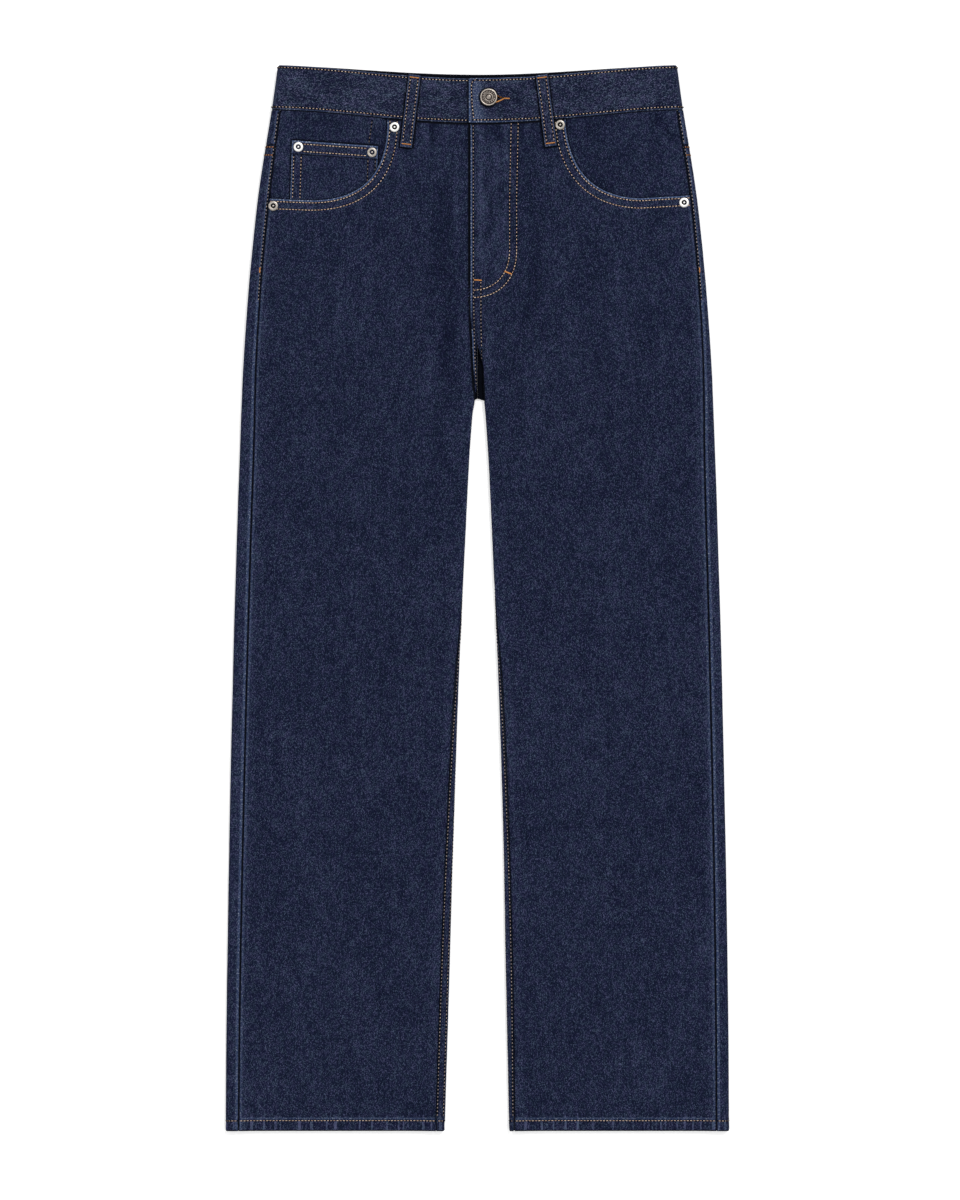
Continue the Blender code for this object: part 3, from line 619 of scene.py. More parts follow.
class Recipe:
    """A material being made, with short ways to add and join its nodes."""

    def __init__(self, name, roughness, specular, metallic=0.0):
        self.material = bpy.data.materials.new(name)
        self.material.use_nodes = True
        self.tree = self.material.node_tree
        self.shader = self.tree.nodes["Principled BSDF"]
        self.shader.inputs["Roughness"].default_value = roughness
        self.shader.inputs["Specular IOR Level"].default_value = specular
        self.shader.inputs["Metallic"].default_value = metallic

    def feed(self, socket, value):
        if isinstance(value, bpy.types.NodeSocket):
            self.tree.links.new(value, socket)
        else:
            socket.default_value = value

    def add(self, kind, inputs, **settings):
        node = self.tree.nodes.new("ShaderNode" + kind)
        for name, value in settings.items():
            setattr(node, name, value)
        for key, value in inputs.items():
            self.feed(node.inputs[key], value)
        return node

    def kept(self, name, output="Fac"):
        return self.add("Attribute", {}, attribute_name=name).outputs[output]

    def maths(self, operation, a, b=0.0, clamp=False):
        node = self.add("Math", {0: a, 1: b}, operation=operation, use_clamp=clamp)
        return node.outputs[0]

    def total(self, start, terms):
        """start, plus each value times its strength."""
        for value, strength in terms:
            start = self.add("Math", {0: value, 1: strength, 2: start}, operation="MULTIPLY_ADD")
            start = start.outputs[0]
        return start

    def noise(self, where, size, turn=0.0, detail=2.0, roughness=0.55):
        """Noise with hills of this size in metres, longer along a turned axis."""
        inputs = {"Vector": where, "Scale": (*size, 1.0), "Rotation": (0.0, 0.0, turn)}
        place = self.add("Mapping", inputs, vector_type="TEXTURE").outputs[0]
        inputs = {"Vector": place, "Scale": 1.0, "Detail": detail, "Roughness": roughness}
        return self.add("TexNoise", inputs).outputs[0]

    def ramp(self, factor, stops):
        node = self.add("ValToRGB", {"Fac": factor})
        marks = node.color_ramp.elements
        while len(marks) < len(stops):
            marks.new(0.5)
        for mark, (place, colour) in zip(marks, stops):
            mark.position = place
            mark.color = colour
        return node.outputs[0]

    def fade(self, value, start, end):
        """1 at start and below, falling to 0 at end."""
        inputs = {"Value": value, "From Min": start, "From Max": end, "To Min": 1.0, "To Max": 0.0}
        return self.add("MapRange", inputs, interpolation_type="SMOOTHSTEP").outputs[0]

    def mix(self, factor, a, b, blend="MIX"):
        node = self.add("Mix", {0: factor, 6: a, 7: b}, data_type="RGBA", blend_type=blend)
        return node.outputs[2]

    def shut_in(self, reach, open_at, dark_at):
        """0 in the open, and 1 deep in a seam or under an edge, from ambient occlusion, for painted
        shade.
        """
        node = self.add("AmbientOcclusion", {"Distance": reach}, samples=8)
        return self.fade(node.outputs["AO"], dark_at, open_at)

    def bump(self, height, distance, strength):
        inputs = {"Height": height, "Distance": distance, "Strength": strength}
        self.feed(self.shader.inputs["Normal"], self.add("Bump", inputs).outputs[0])


# %% Denim, inside and out
END_STEP = 0.00042  # metres from one warp thread to the next
FLOAT_LENGTH = 0.00085  # length of warp between two dips under a weft thread
TWILL_STEP = 0.25  # of that length, from one warp thread to the next
SLANT = math.radians(43)  # of the lines that this makes, up to the right
NEP_POWER = 90.0  # the higher, the fewer pale knots of fibre
SALT_SIZE = (0.0024, 0.0007)
TINT_SIZE = (0.006, 0.008)
UNEVEN = [  # size, detail and strength of the thread's slubs, mottle, dye and wide clouds
    ((0.0020, 0.050), 2.0, 0.24),
    ((0.011, 0.015), 1.0, 0.22),
    ((0.05, 0.08), 3.0, 0.20),
    ((0.16, 0.24), 1.0, 0.10),
]
RIB_SIZE = (0.0040, 1.0)  # of the ribs along a hem
SPECK_SIZE = (0.0013, 0.0015)  # of the pale specks on a worn edge
MEAN_TONE = 0.46
SALT_MEAN = 0.265  # what the weave adds on average
TONES = (0.12, 0.5, 0.74, 0.95)  # where the four shades lie on the scale of tones


def weave(r, parts):
    """Each length of warp's dye, the weft at its tip, its sides for the painted shade between threads,
    and pale knots.
    """
    ends = r.maths("DIVIDE", parts[0], END_STEP)
    end = r.maths("FLOOR", ends)
    floats = r.total(r.maths("DIVIDE", parts[1], FLOAT_LENGTH), [(end, -TWILL_STEP)])
    cell = r.add("CombineXYZ", {0: end, 1: r.maths("FLOOR", floats)}).outputs[0]
    chance = r.add("TexWhiteNoise", {"Vector": cell}, noise_dimensions="2D").outputs
    dye = r.maths("POWER", chance["Value"], 2.8)
    tip = r.maths("ABSOLUTE", r.maths("SUBTRACT", r.maths("FRACT", floats), 0.5))
    side = r.maths("ABSOLUTE", r.maths("SUBTRACT", r.maths("FRACT", ends), 0.5))
    _, weft, nep = r.add("SeparateXYZ", {0: chance["Color"]}).outputs
    point = r.maths("MULTIPLY", r.maths("POWER", weft, 2.0), r.fade(tip, 0.46, 0.34))
    return dye, point, side, r.maths("POWER", nep, NEP_POWER)


def edge_wear_and_painted_light(r, colour, cloth_at, worn):
    """The colour worn pale in specks at edges, partly a painted highlight, with painted shade in seams
    and hollows.
    """
    edge, wear = r.kept("edge"), r.kept("wear")
    specks = r.total(-4.45, [(r.noise(cloth_at, SPECK_SIZE, detail=1.0), 8.0)])
    rubbed_and_lit = r.maths("MULTIPLY", r.fade(edge, 0.8, 2.1), r.maths("MAXIMUM", wear, 0.0))
    colour = r.mix(rubbed_and_lit, colour, RUBBED_AND_HIGHLIT)
    colour = r.mix(r.maths("MULTIPLY", rubbed_and_lit, specks, clamp=True), colour, worn)
    # Marks below 0 paint the shade of a seam.
    sunk = r.maths("MULTIPLY", wear, -1.0)
    shaded = r.maths("MULTIPLY", r.fade(edge, 0.5, 1.6), sunk, clamp=True)
    colour = r.mix(shaded, colour, PAINTED_SHADE)
    # Ambient occlusion paints shade into the colour, darkest in seams and under edges.
    return r.mix(r.shut_in(0.0032, 0.97, 0.62), colour, PAINTED_SHADE)


def denim(name, shades, salt, worn):
    """Twill with these shades, from dark to light."""
    r = Recipe(name, roughness=0.85, specular=0.05)
    r.shader.inputs["Sheen Weight"].default_value = 0.03
    r.shader.inputs["Sheen Roughness"].default_value = 0.5
    r.shader.inputs["Sheen Tint"].default_value = srgb(150, 170, 215)
    cloth_at = r.kept("cloth", "Vector")
    parts = r.add("SeparateXYZ", {0: cloth_at}).outputs
    warp, weft, side, neps = weave(r, parts)
    grain = r.noise(cloth_at, SALT_SIZE, SLANT, detail=1.5)
    terms = [(grain, 0.5 * salt)]
    for size, detail, strength in UNEVEN:
        terms.append((r.noise(cloth_at, size, detail=detail), strength))
    mean = MEAN_TONE - sum(strength for _, strength in terms) / 2 - SALT_MEAN * salt
    # A thread's sides darken the tone: painted shade between threads.
    terms += [(warp, salt), (weft, salt * 0.7), (side, -0.15 * salt), (neps, 1.8 * salt)]
    # The kept fade pales or darkens the tone: fading, and painted light and shade on folds, ridges and
    # hollows.
    terms.append((r.kept("fade"), 0.30))
    roped = r.maths("MULTIPLY", parts[2], 1000.0)
    ribs = r.fade(r.noise(cloth_at, RIB_SIZE, detail=0.0), 0.63, 0.55)
    terms += [(r.maths("MULTIPLY", ribs, roped), 0.52), (roped, -0.07)]
    colour = r.ramp(r.total(mean, terms), list(zip(TONES, shades)))
    tint = r.fade(r.noise(cloth_at, TINT_SIZE, detail=2.0), 0.40, 0.60)
    colour = r.mix(1.0, colour, r.mix(tint, VIOLET, TEAL), blend="MULTIPLY")
    r.feed(r.shader.inputs["Base Color"], edge_wear_and_painted_light(r, colour, cloth_at, worn))
    relief = r.total(0.0, [(warp, 0.5), (grain, 0.5), (side, -1.2), (weft, -0.6)])
    r.bump(relief, 0.0004, 0.55)
    return r.material


BODY_SHADES = [srgb(7, 12, 31), srgb(20, 26, 50), srgb(36, 43, 68), srgb(72, 80, 106)]
BAND_SHADES = [srgb(9, 14, 33), srgb(25, 31, 54), srgb(44, 50, 75), srgb(90, 98, 124)]
INSIDE_SHADES = [srgb(52, 58, 78), srgb(84, 91, 112), srgb(118, 126, 146), srgb(160, 166, 182)]
# The waistband's inside, painted near black with the shade it lies in.
BAND_INSIDE_IN_SHADE = [srgb(4, 5, 12), srgb(9, 11, 22), srgb(18, 21, 34), srgb(34, 38, 52)]
# The pale of a worn edge, partly a painted highlight.
RUBBED_AND_HIGHLIT = srgb(62, 79, 115)
WORN = srgb(172, 181, 197)
TEAL = (0.93, 1.035, 0.96, 1)
VIOLET = (1.07, 0.965, 1.05, 1)
# Painted shade for seams, hollows and the cloth beside raised edges.
PAINTED_SHADE = srgb(5, 7, 15)

body_denim = denim("denim_body", BODY_SHADES, 0.78, WORN)
band_denim = denim("denim_waistband", BAND_SHADES, 0.85, WORN)
inside_denim = denim("denim_inside", INSIDE_SHADES, 0.3, srgb(150, 158, 175))
band_inside_shaded = denim("denim_waistband_inside", BAND_INSIDE_IN_SHADE, 0.3, WORN)
print("denim recipes made")

# %% [markdown]
# ## Front panels
#
# A front is cut with a curved pocket mouth, which a plain grid cannot follow. So it is made
# of two grids that share a line: one between the fly and the mouth, and one for all the rest
# of the leg, whose first row runs along the mouth. Both edges of the mouth are then real
# rows of points, which can be rolled over and stitched. The left front has a third grid, for
# the narrow edge below the fly that is sewn down over the right front.

# %% The pocket mouths
MOUTHS = {
    "right": [(90.0, 60.0), (91.0, 107.0), (113.5, 135.5), (167.0, 135.3), (226.0, 133.0)],
    "left": [(88.0, 60.0), (91.5, 98.0), (110.0, 132.0), (163.0, 133.2), (226.0, 129.5)],
}
MOUTH_ABOVE = 30.0
MOUTH_ROWS = (2.6, 9.9)  # the two rows of stitches, from the edge


def mouth_curve(side, steps=60):
    """Distances from the middle and drops along a pocket mouth."""
    *marks, end = MOUTHS[named(side)]
    p = np.array(marks)
    t = np.linspace(0, 1, steps + 1)[:, None]
    bend = (1 - t) ** 3 * p[0] + 3 * t * (1 - t) ** 2 * p[1] + 3 * t * t * (1 - t) * p[2]
    return np.vstack([(p[0][0], MOUTH_ABOVE), bend + t**3 * p[3], end])


def inside_mouth(side, across, drop):
    """How far a place is inside the pocket's opening, or below 0 outside it."""
    curve = mouth_curve(side)
    best = np.full(np.broadcast(across, drop).shape, 1e9)
    for a, b in zip(curve, curve[1:]):
        run = b - a
        t = np.clip(((across - a[0]) * run[0] + (drop - a[1]) * run[1]) / (run @ run), 0, 1)
        best = np.minimum(best, np.hypot(across - a[0] - t * run[0], drop - a[1] - t * run[1]))
    opened = (across > curve[0, 0]) & (drop < np.interp(across, curve[:, 0], curve[:, 1]))
    return np.where(opened, best, -best)


def lengths(line):
    """Distance along a line of points, from its start."""
    steps = np.linalg.norm(np.diff(line, axis=0), axis=1)
    return np.concatenate([[0], np.cumsum(steps)])


def between(values, marks, at):
    """Values at these distances along a line, from those at its marks."""
    return np.stack([np.interp(at, marks, column) for column in values.T], axis=-1)


def along_line(line, at):
    """Points at these distances along a line."""
    return between(line, lengths(line), at)


def front_top(across):
    """Drop of the front's top edge, against the waistband."""
    return BAND_HEIGHT + GAP + dip(across, FRONT_DIP, BAND_HEIGHT)


def flat_wrap(side, across, drop):
    """Wrap of a place on the front that is this far from the middle."""
    s = section(side, drop)
    return s.arc + s.half - FOLD_REACH - across


def seam_across(side, drop):
    """Distance from the middle to the side seam."""
    return read(SECTIONS, "half_width", drop) - read(SECTIONS, "seam_" + named(side), drop)


# %% The two grids of a front
JOIN_BELOW = 6.0  # from the mouth's bend down to the line that the grids share
BLEND = 70.0  # drop over which the rows straighten out below it
UPPER_WIDTH = 104.0  # about how wide the upper grid is
UPPER_FROM = 50.0  # about the drop where it starts
LEG_WIDTH = 222.0
FRONT_STEP = 3.2
HEM_OPENS = (10, 24)  # distances from the hem between which the rows grow coarser


def leg_rows(start, fine, more, opens):
    """Drops of rows from start to the hem, coarser by more between its ends."""
    length = LENGTH - start

    def step_at(s):
        return fine + more * np.minimum(smooth(*opens, s), smooth(*HEM_OPENS, length - s))

    return start + length * spaced(length, step_at)


def front_grids(side):
    """Wraps and drops of the upper grid and of the lower one."""
    curve = mouth_curve(side)
    dense = along_line(curve, np.arange(0, lengths(curve)[-1], 0.25))
    first = np.argmax(dense[:, 1] >= front_top(dense[:, 0]))
    last = np.argmax(dense[:, 0] >= seam_across(side, dense[:, 1]) - GAP / 2)
    slope = np.diff(dense, axis=0)
    bend = first + np.argmax(slope[first:, 0] >= slope[first:, 1])
    upright, level = dense[first : bend + 1], dense[bend : last + 1]
    join = dense[bend, 1] + JOIN_BELOW

    u = fine_at_ends(UPPER_WIDTH, 0.9, 2.4, 30 if side < 0 else 16)
    high = join - UPPER_FROM
    v = fine_at_ends(high, 1.4, 2.4, 8, 0)[:, None]
    right = along_line(upright, v[:, 0] * lengths(upright)[-1])
    start = float(read(CENTRE_EDGES, named(side), 100.0)) * side + GAP / 2
    left_drop = front_top(start) + (join - front_top(start)) * v
    across = start + (right[:, :1] - start) * u
    drop = left_drop + (right[:, 1:] - left_drop) * u
    straight = drop[0] + 0 * u
    drop = drop + (1 - v) * (front_top(across) - straight)
    upper = (flat_wrap(side, across, drop), drop)

    outer_length = lengths(level)[-1]
    w = fine_at_ends(outer_length, 0.9, 2.6, 0, 14)[1:]
    outer = along_line(level, w * outer_length)
    top_across = np.concatenate([across[-1], outer[:, 0]])
    top_drop = np.concatenate([drop[-1], outer[:, 1]])
    count = len(top_across) - 1
    even = fine_at_ends(LEG_WIDTH, 0.9, 3.2, 20, 16, count)
    rows = leg_rows(join, 0.8, FRONT_STEP - 0.8, (9, 26))[:, None]
    settled = smooth(0, BLEND, rows - join)
    drop = rows + (top_drop - join) * (1 - settled)

    def ends(drop):
        room = GAP / 2 + inseam_room(side, drop)
        return front_end(side, drop) - room, seam_wrap(side, drop) + GAP / 2

    inner, seam = ends(top_drop)
    top_share = (flat_wrap(side, top_across, top_drop) - inner) / (seam - inner)
    share = top_share * (1 - settled) + even * settled
    inner, seam = ends(drop)
    lower = (inner + (seam - inner) * share, drop)
    return upper, lower


# %% Where the belt loops lie
LOOP_WIDTH = 12.0
LOOP_ARCH = 0.7
LOOP_ROWS = 3.85  # the stitches' distance from a loop's middle
Loop = namedtuple("Loop", "name top_x top_drop bottom_x bottom_drop on_front")
LOOPS = [
    Loop("belt_loop_front_right", -62.6, 10.2, -71.4, 82.4, True),
    Loop("belt_loop_front_left", 64.2, 10.2, 73.4, 81.4, True),
    Loop("belt_loop_back_right", -118.0, 6.6, -122.0, 80.0, False),
    Loop("belt_loop_centre_back", 0.0, 10.4, 0.0, 83.0, False),
    Loop("belt_loop_back_left", 118.0, 6.6, 122.0, 80.0, False),
]


def loop_run(loop):
    """How far a belt loop runs across and down, and its length."""
    across, down = loop.bottom_x - loop.top_x, loop.bottom_drop - loop.top_drop
    return across, down, math.hypot(across, down)


def loop_place(loop, off, share):
    """x and drop, off from a loop's middle line and this share of the way down."""
    across, down, length = loop_run(loop)
    x = loop.top_x + across * share + off * down / length
    return x, loop.top_drop + down * share - off * across / length


def beside_loops(x, drop):
    """How far a place on the front is outside the nearest belt loop."""
    nearest = FAR + 0 * x
    for loop in [loop for loop in LOOPS if loop.on_front]:
        across, down, length = loop_run(loop)
        from_x, from_drop = x - loop.top_x, drop - loop.top_drop
        along = (from_x * across + from_drop * down) / length
        off = np.abs(from_x * down - from_drop * across) / length
        past = np.maximum(np.maximum(-along, along - length), 0)
        nearest = np.minimum(nearest, np.hypot(np.maximum(off - LOOP_WIDTH / 2, 0), past))
    return nearest


# %% What sewing does to a front
HEM_ROW = 10.4  # the hem's stitches, up from the edge
HEM_RIDGE = 12.6  # the ridge over the hem's turned edge, up from it too
J_IN = (39.2, 41.3)  # half widths and heights of the fly's two curves
J_OUT = (46.2, 48.6)
J_POWER = 2.3
J_BENDS = 184.0


def fly_curve(size, steps=40):
    """Places along one row of the fly's curved stitching, from the waist down."""
    wide, high = size
    turn = np.linspace(0, math.pi / 2, steps)
    x = FLY_EDGE + wide * np.cos(turn) ** (2 / J_POWER)
    drop = J_BENDS + high * np.sin(turn) ** (2 / J_POWER)
    return np.vstack([(x[0] + 1.6, 57.5), (x[0], 132.0), np.stack([x, drop], axis=1)])


def from_fly_curve(size, x, drop):
    """About how far a place is from one of the fly's curves."""
    wide, high = size
    u = np.abs(x - FLY_EDGE) / wide
    v = np.maximum(drop - J_BENDS, 0) / high
    reach = (u**J_POWER + v**J_POWER) ** (1 / J_POWER)
    return np.abs(reach - 1) * wide


RiseLap = namedtuple("RiseLap", "drop edge width over")
RISE_LAPS = [RiseLap(*row) for row in [
    (250, -6.3, 3.4, 0.6),
    (262, -5.9, 4.0, 1.3),
    (275, -5.2, 4.3, 1.6),
    (284, -4.8, 3.5, 1.6),
    (290, -4.6, 3.0, 1.6),
    (306, -3.9, 2.5, 1.5),
    (320, -3.0, 1.9, 1.2),
    (327, -2.6, 1.2, 0.9),
]]


# Where the crotch recess's painted shade starts on the left front, at each drop.
Recess = namedtuple("Recess", "drop edge")
RECESS = [Recess(278, 3.4), Recess(292, 4.6), Recess(310, 5.6), Recess(335, 7.0)]


def lap_edge(drop):
    """x of the edge that laps over the right front: the fly's, then the rise seam's."""
    beside_fly = FLY_EDGE + 0.7 * smooth(236, 250, drop)
    return np.where(drop < RISE_LAPS[0].drop, beside_fly, read(RISE_LAPS, "edge", drop))


Spot = namedtuple("Spot", "side x across drop seam inner mouth hem top on_leg")


def front_spot(side, wrap, drop):
    """How far a place on a front is from each of the panel's edges."""
    x = skin(side, wrap, drop)[..., 0]
    across = side * x
    seam = wrap - seam_wrap(side, drop) - GAP / 2
    inner = front_end(side, drop) - GAP / 2 - inseam_room(side, drop) - wrap
    mouth = -inside_mouth(side, across, drop)
    top = drop - front_top(across)
    on_leg = smooth(300, 360, drop)
    return Spot(side, x, across, drop, seam, inner, mouth, LENGTH - drop, top, on_leg)


def front_relief(at, plain, seed):
    """Height over the skin: the plain unrest, and what sewing adds to it."""
    _, x, across, drop, seam, inner, mouth, hem, top, on_leg = at
    height = (plain + crease_height(DRAPES, x, drop)) * smooth(0, 6, hem)
    height += roll(seam) + bulk(seam, 8, 0.3) + pucker(drop, seam, 5, 7.5, 0.16, seed + 1)
    height += roll(mouth, 1.6, 0.6) + bulk(mouth, 11.2, 0.4)
    height += sum(groove(mouth - row) for row in MOUTH_ROWS)
    between_rows = smooth(2.6, 4.5, mouth) * (1 - smooth(8, 16, mouth))
    round_mouth = (across + 0.8 * drop) * 1.1
    height += 0.13 * waver(round_mouth, 5.2, seed + 4) * between_rows
    height += pucker(across, top, 9, 6.5, 0.26, seed + 2) * smooth(0, 1.5, top)
    height += roll(top, 1.2, 0.3)
    height += roll(hem, 1.8, 0.7) + groove(hem - HEM_ROW, 0.3)
    roped = smooth(0.5, 3, hem) * (1 - smooth(9.0, 10.6, hem))
    roped = roped * smooth(0.15, 0.75, waver(x + 0.15 * hem, 4.2, seed + 5))
    height += 0.4 * roped
    height += 0.22 * bell(hem, HEM_RIDGE, 1.2) * (1 + 0.5 * waver(x, 7, seed + 6))

    felled = roll(inner) + bulk(inner, 8, 0.25) + pucker(drop, inner, 6, 8, 0.2, seed + 3)
    height += on_leg * felled
    if at.side > 0:
        above = 1 - on_leg
        height += above * (roll(inner, 1.3, 0.5) + groove(inner - 3.2, 0.25))
        height += above * pucker(drop, inner, 7, 9, 0.12, seed + 7)
        for size in (J_IN, J_OUT):
            row = groove(from_fly_curve(size, x, drop), 0.25)
            height += row * (1 - smooth(228, 236, drop))
    else:
        height += (1 - on_leg) * roll(inner, 2.0, 0.3)
    return height


def front_edges(at):
    """The edges of a front that are worn pale, partly a painted highlight, and the places painted with
    shade.
    """
    x, drop, seam = at.x, at.drop, at.seam
    if at.side > 0:
        fly_wear_and_highlight = 1 - smooth(236, 258, drop)
        beside_lap = FAR + 0 * drop
        recess = np.maximum(x - read(RECESS, "edge", drop), 0) + 0.10 * np.maximum(0, 297 - drop)
    else:
        fly_wear_and_highlight = 0 * drop
        beside_lap = np.abs(x - lap_edge(drop) + 1.1) * 0.75 + np.maximum(0, drop - 326)
        recess = np.maximum(0, -2.9 - x) + 0.5 * np.maximum(0, 322 - drop)
    # Marks below 0 paint shade: in the side seam, along the top under the waistband, along the hem, in
    # the crotch, beside the lap's edge and beside the belt loops.
    return [
        (seam, -0.95 + 0.35 * (1 - smooth(280, 420, drop))),
        (np.abs(seam - 1.9) * 0.8 + 0.3, np.where(drop > 400, 0.24, 0.2)),
        (at.inner * 1.15, fly_wear_and_highlight),
        (at.mouth, 0.95),
        (np.abs(at.hem - HEM_RIDGE) + 0.6, 0.3),
        (at.top * 0.6, -1.0),
        (at.hem, -0.8),
        (recess + np.maximum(0, drop - CROTCH), -0.95),
        (beside_lap, -1.0),
        (beside_loops(x, drop) * 0.6, -0.85),
    ]


def front_fade_and_shading(at, sewn, seed):
    """How much paler or darker the cloth is, from fading and from painted light and shade. sewn is the
    height that sewing adds.
    """
    x, drop, hem = at.x, at.drop, at.hem
    shown = 1 - bell(np.minimum(at.inner, at.mouth), 0, 2)
    # The tucks below the waistband and above the hem are painted as light and shade.
    tucks = pucker(at.across, at.top, 20, 6.5, 0.8, seed + 2)
    tucks += pucker(x, np.maximum(hem - 11, 0), 9, 8.0, 0.35, seed + 9) * smooth(9, 12, hem)
    # Raised sewing and drapes are paler and their hollows darker: partly real fading on ridges and
    # partly painted light and shade.
    fade = np.clip(0.9 * sewn * shown + tucks, -0.6, 0.5)
    fade += 0.15 * smooth(1.0, 3.0, hem) * (1 - smooth(9.0, 10.6, hem))
    # Mottle, and the listed rows of painted shade and light.
    fade += 0.16 * rumple(x, drop * 0.45, 9, seed + 8) + crease_height(PAINTED_SHADING, x, drop)
    if at.side > 0:
        over_fly = 1 - smooth(0.72, 1.0, (x - FLY_EDGE) / FLY_WIDTH)
        over_fly = over_fly * (1 - smooth(190, 240, drop))
        streaks = 0.5 * rumple(x, drop * 0.3, 5, seed + 10)
        streaks += 0.4 * rumple(x, drop * 0.5, 15, seed + 11)
        fade += (0.26 + streaks + 0.22 * bell(x, 3, 4)) * over_fly
    return fade


def front_finish(side, wrap, drop):
    """Height over the skin, the nearest edge with its mark, and how much paler or darker the cloth is,
    from fading and painted light and shade.
    """
    seed = 20 + side
    at = front_spot(side, wrap, drop)
    plain = unrest(at.x, drop, seed)
    height = front_relief(at, plain, seed)
    edge, mark = nearest_edge(front_edges(at), at.x.shape)
    fade = front_fade_and_shading(at, height - plain, seed)
    if side > 0:
        above = np.where(drop < TURN_STARTS, fly_raise(at.x, drop), 0)
        height += (1 - at.on_leg) * above
    return height, edge, mark, fade


def grain_of(wrap, drop, turned=False):
    """Places across the cloth and up it, and how much the hem ropes it."""
    flat = [wrap, -drop] if not turned else [-drop, wrap]
    hem = LENGTH - np.asarray(drop, float)
    roped = smooth(0.6, 1.8, hem) * (1 - smooth(9.4, 10.4, hem))
    roped = roped + 0.6 * smooth(11.4, 12.2, hem) * (1 - smooth(13.5, 16.5, hem))
    return np.stack(np.broadcast_arrays(*flat, roped), axis=-1)


def raised(side, wrap, drop, height):
    """Skin with this height added, but nothing outwards on the underside."""
    out = outward(side, wrap, drop)
    upward = smooth(-0.2, 0.5, out[..., 2])
    height = np.minimum(height, 0) + np.maximum(height, 0) * upward
    return skin(side, wrap, drop) + out * height[..., None], out


# %% Sew the fronts
LAP_GRID = (8, 60)  # points across and down the lapped edge


def rise_lap():
    """The left front's edge below the fly, sewn down over the right front."""
    share = np.linspace(0, 1, LAP_GRID[0])
    drop = np.linspace(RISE_LAPS[0].drop, RISE_LAPS[-1].drop, LAP_GRID[1])
    share, drop = np.meshgrid(share, drop)
    width = read(RISE_LAPS, "width", drop)
    wrap = flat_wrap(-1, -read(RISE_LAPS, "edge", drop), drop) + width * share
    out = outward(-1, wrap, drop)
    distance = width * share
    height = read(RISE_LAPS, "over", drop) + roll(distance, 1.2, 0.4)
    height += 0.10 * waver(drop, 6.0, 30) + groove(distance - 3.0, 0.2)
    points = skin(-1, wrap, drop) + out * height[..., None]
    # Painted shade where the lap goes down into the crotch, and darker still at its end.
    fade = 0.2 - 1.2 * smooth(278, 300, drop) * smooth(1.4, 2.8, distance)
    fade = fade - 0.5 * smooth(312, 324, drop)
    wear = 0.8 * (1 - smooth(290, 312, drop))
    return points, out, grain_of(wrap + 300, drop), distance * 1.1, wear, fade


cut_sizes = {}
for side in (-1, 1):
    grids = []
    for wrap, drop in front_grids(side):
        height, edge, wear, fade = front_finish(side, wrap, drop)
        points, out = raised(side, wrap, drop, height)
        centre = (seam_wrap(side, drop) + front_end(side, drop)) / 2
        grain = grain_of(-side * (wrap - centre) + 300 * side, drop)
        grids.append((points, out, grain, edge, wear, fade))
    if side > 0:
        grids.append(rise_lap())
    cloth(f"front_{named(side)}", f"front_panel_{named(side)}", grids)

# %% [markdown]
# ## Back panels and yokes
#
# A back panel is wider than a front, so it wraps round both folds and shows on the front as
# two narrow strips, each with a seam. The yoke above it is a separate shaped piece that gives
# jeans their curve over the seat. On the underside only grooves are added, because that side
# is pressed flat by what it lies on.

# %% Back panels and yokes
BACK_WIDTH = 268.0
BACK_SHARE = fine_at_ends(BACK_WIDTH, 1.0, 7.0, 26, 26)
PANEL_TOP = YOKE_SIDE + GAP / 2
YOKE_TOP = BAND_HEIGHT + GAP
YOKE_FOOT = YOKE_SIDE - GAP / 2


def yoke_seam(x, wrap):
    """Drop of the yoke seam, which falls to the centre back."""
    half = float(read(SECTIONS, "half_width", YOKE_SIDE))
    fall = (YOKE_CENTRE - YOKE_SIDE) * np.maximum(0.0, 1 - np.abs(x) / half) ** 0.9
    return YOKE_SIDE + np.where(wrap > 0, 0.0, fall)


def waist_dip(x, wrap):
    """How far the yoke's top edge has dropped here."""
    return dip(x, np.where(wrap < 0, BACK_DIP, FRONT_DIP), BAND_HEIGHT)


def back_sag(x, wrap, drop):
    """How far a back panel's row has fallen here."""
    return (yoke_seam(x, wrap) - YOKE_SIDE) * (1 - smooth(YOKE_SIDE, 300, drop))


def yoke_sag(x, wrap, drop):
    """The same on a yoke."""
    down = (drop - YOKE_TOP) / (YOKE_FOOT - YOKE_TOP)
    top = waist_dip(x, wrap)
    return top + (yoke_seam(x, wrap) - YOKE_SIDE - top) * down


def below_yoke(x, wrap, drop):
    """How far a place on a back panel is from its top edge."""
    return drop - yoke_seam(x, wrap) - GAP / 2


def in_yoke(x, wrap, drop):
    """How far a place on a yoke is from its nearer long edge."""
    top = drop - YOKE_TOP - waist_dip(x, wrap)
    return np.minimum(top, yoke_seam(x, wrap) - GAP / 2 - drop)


def back_rows(side, rows, sag):
    """Wraps and drops of a grid on the back, from its side seam."""
    row = rows[:, None] + 0 * BACK_SHARE
    drop = row
    for _ in range(3):
        room = back_room(side, drop)
        start, end = seam_wrap(side, drop) - GAP / 2, back_end(side, drop) + room
        wrap = start + (end - start) * BACK_SHARE
        drop = row + sag(skin(side, wrap, row)[..., 0], wrap, row)
    return wrap, drop


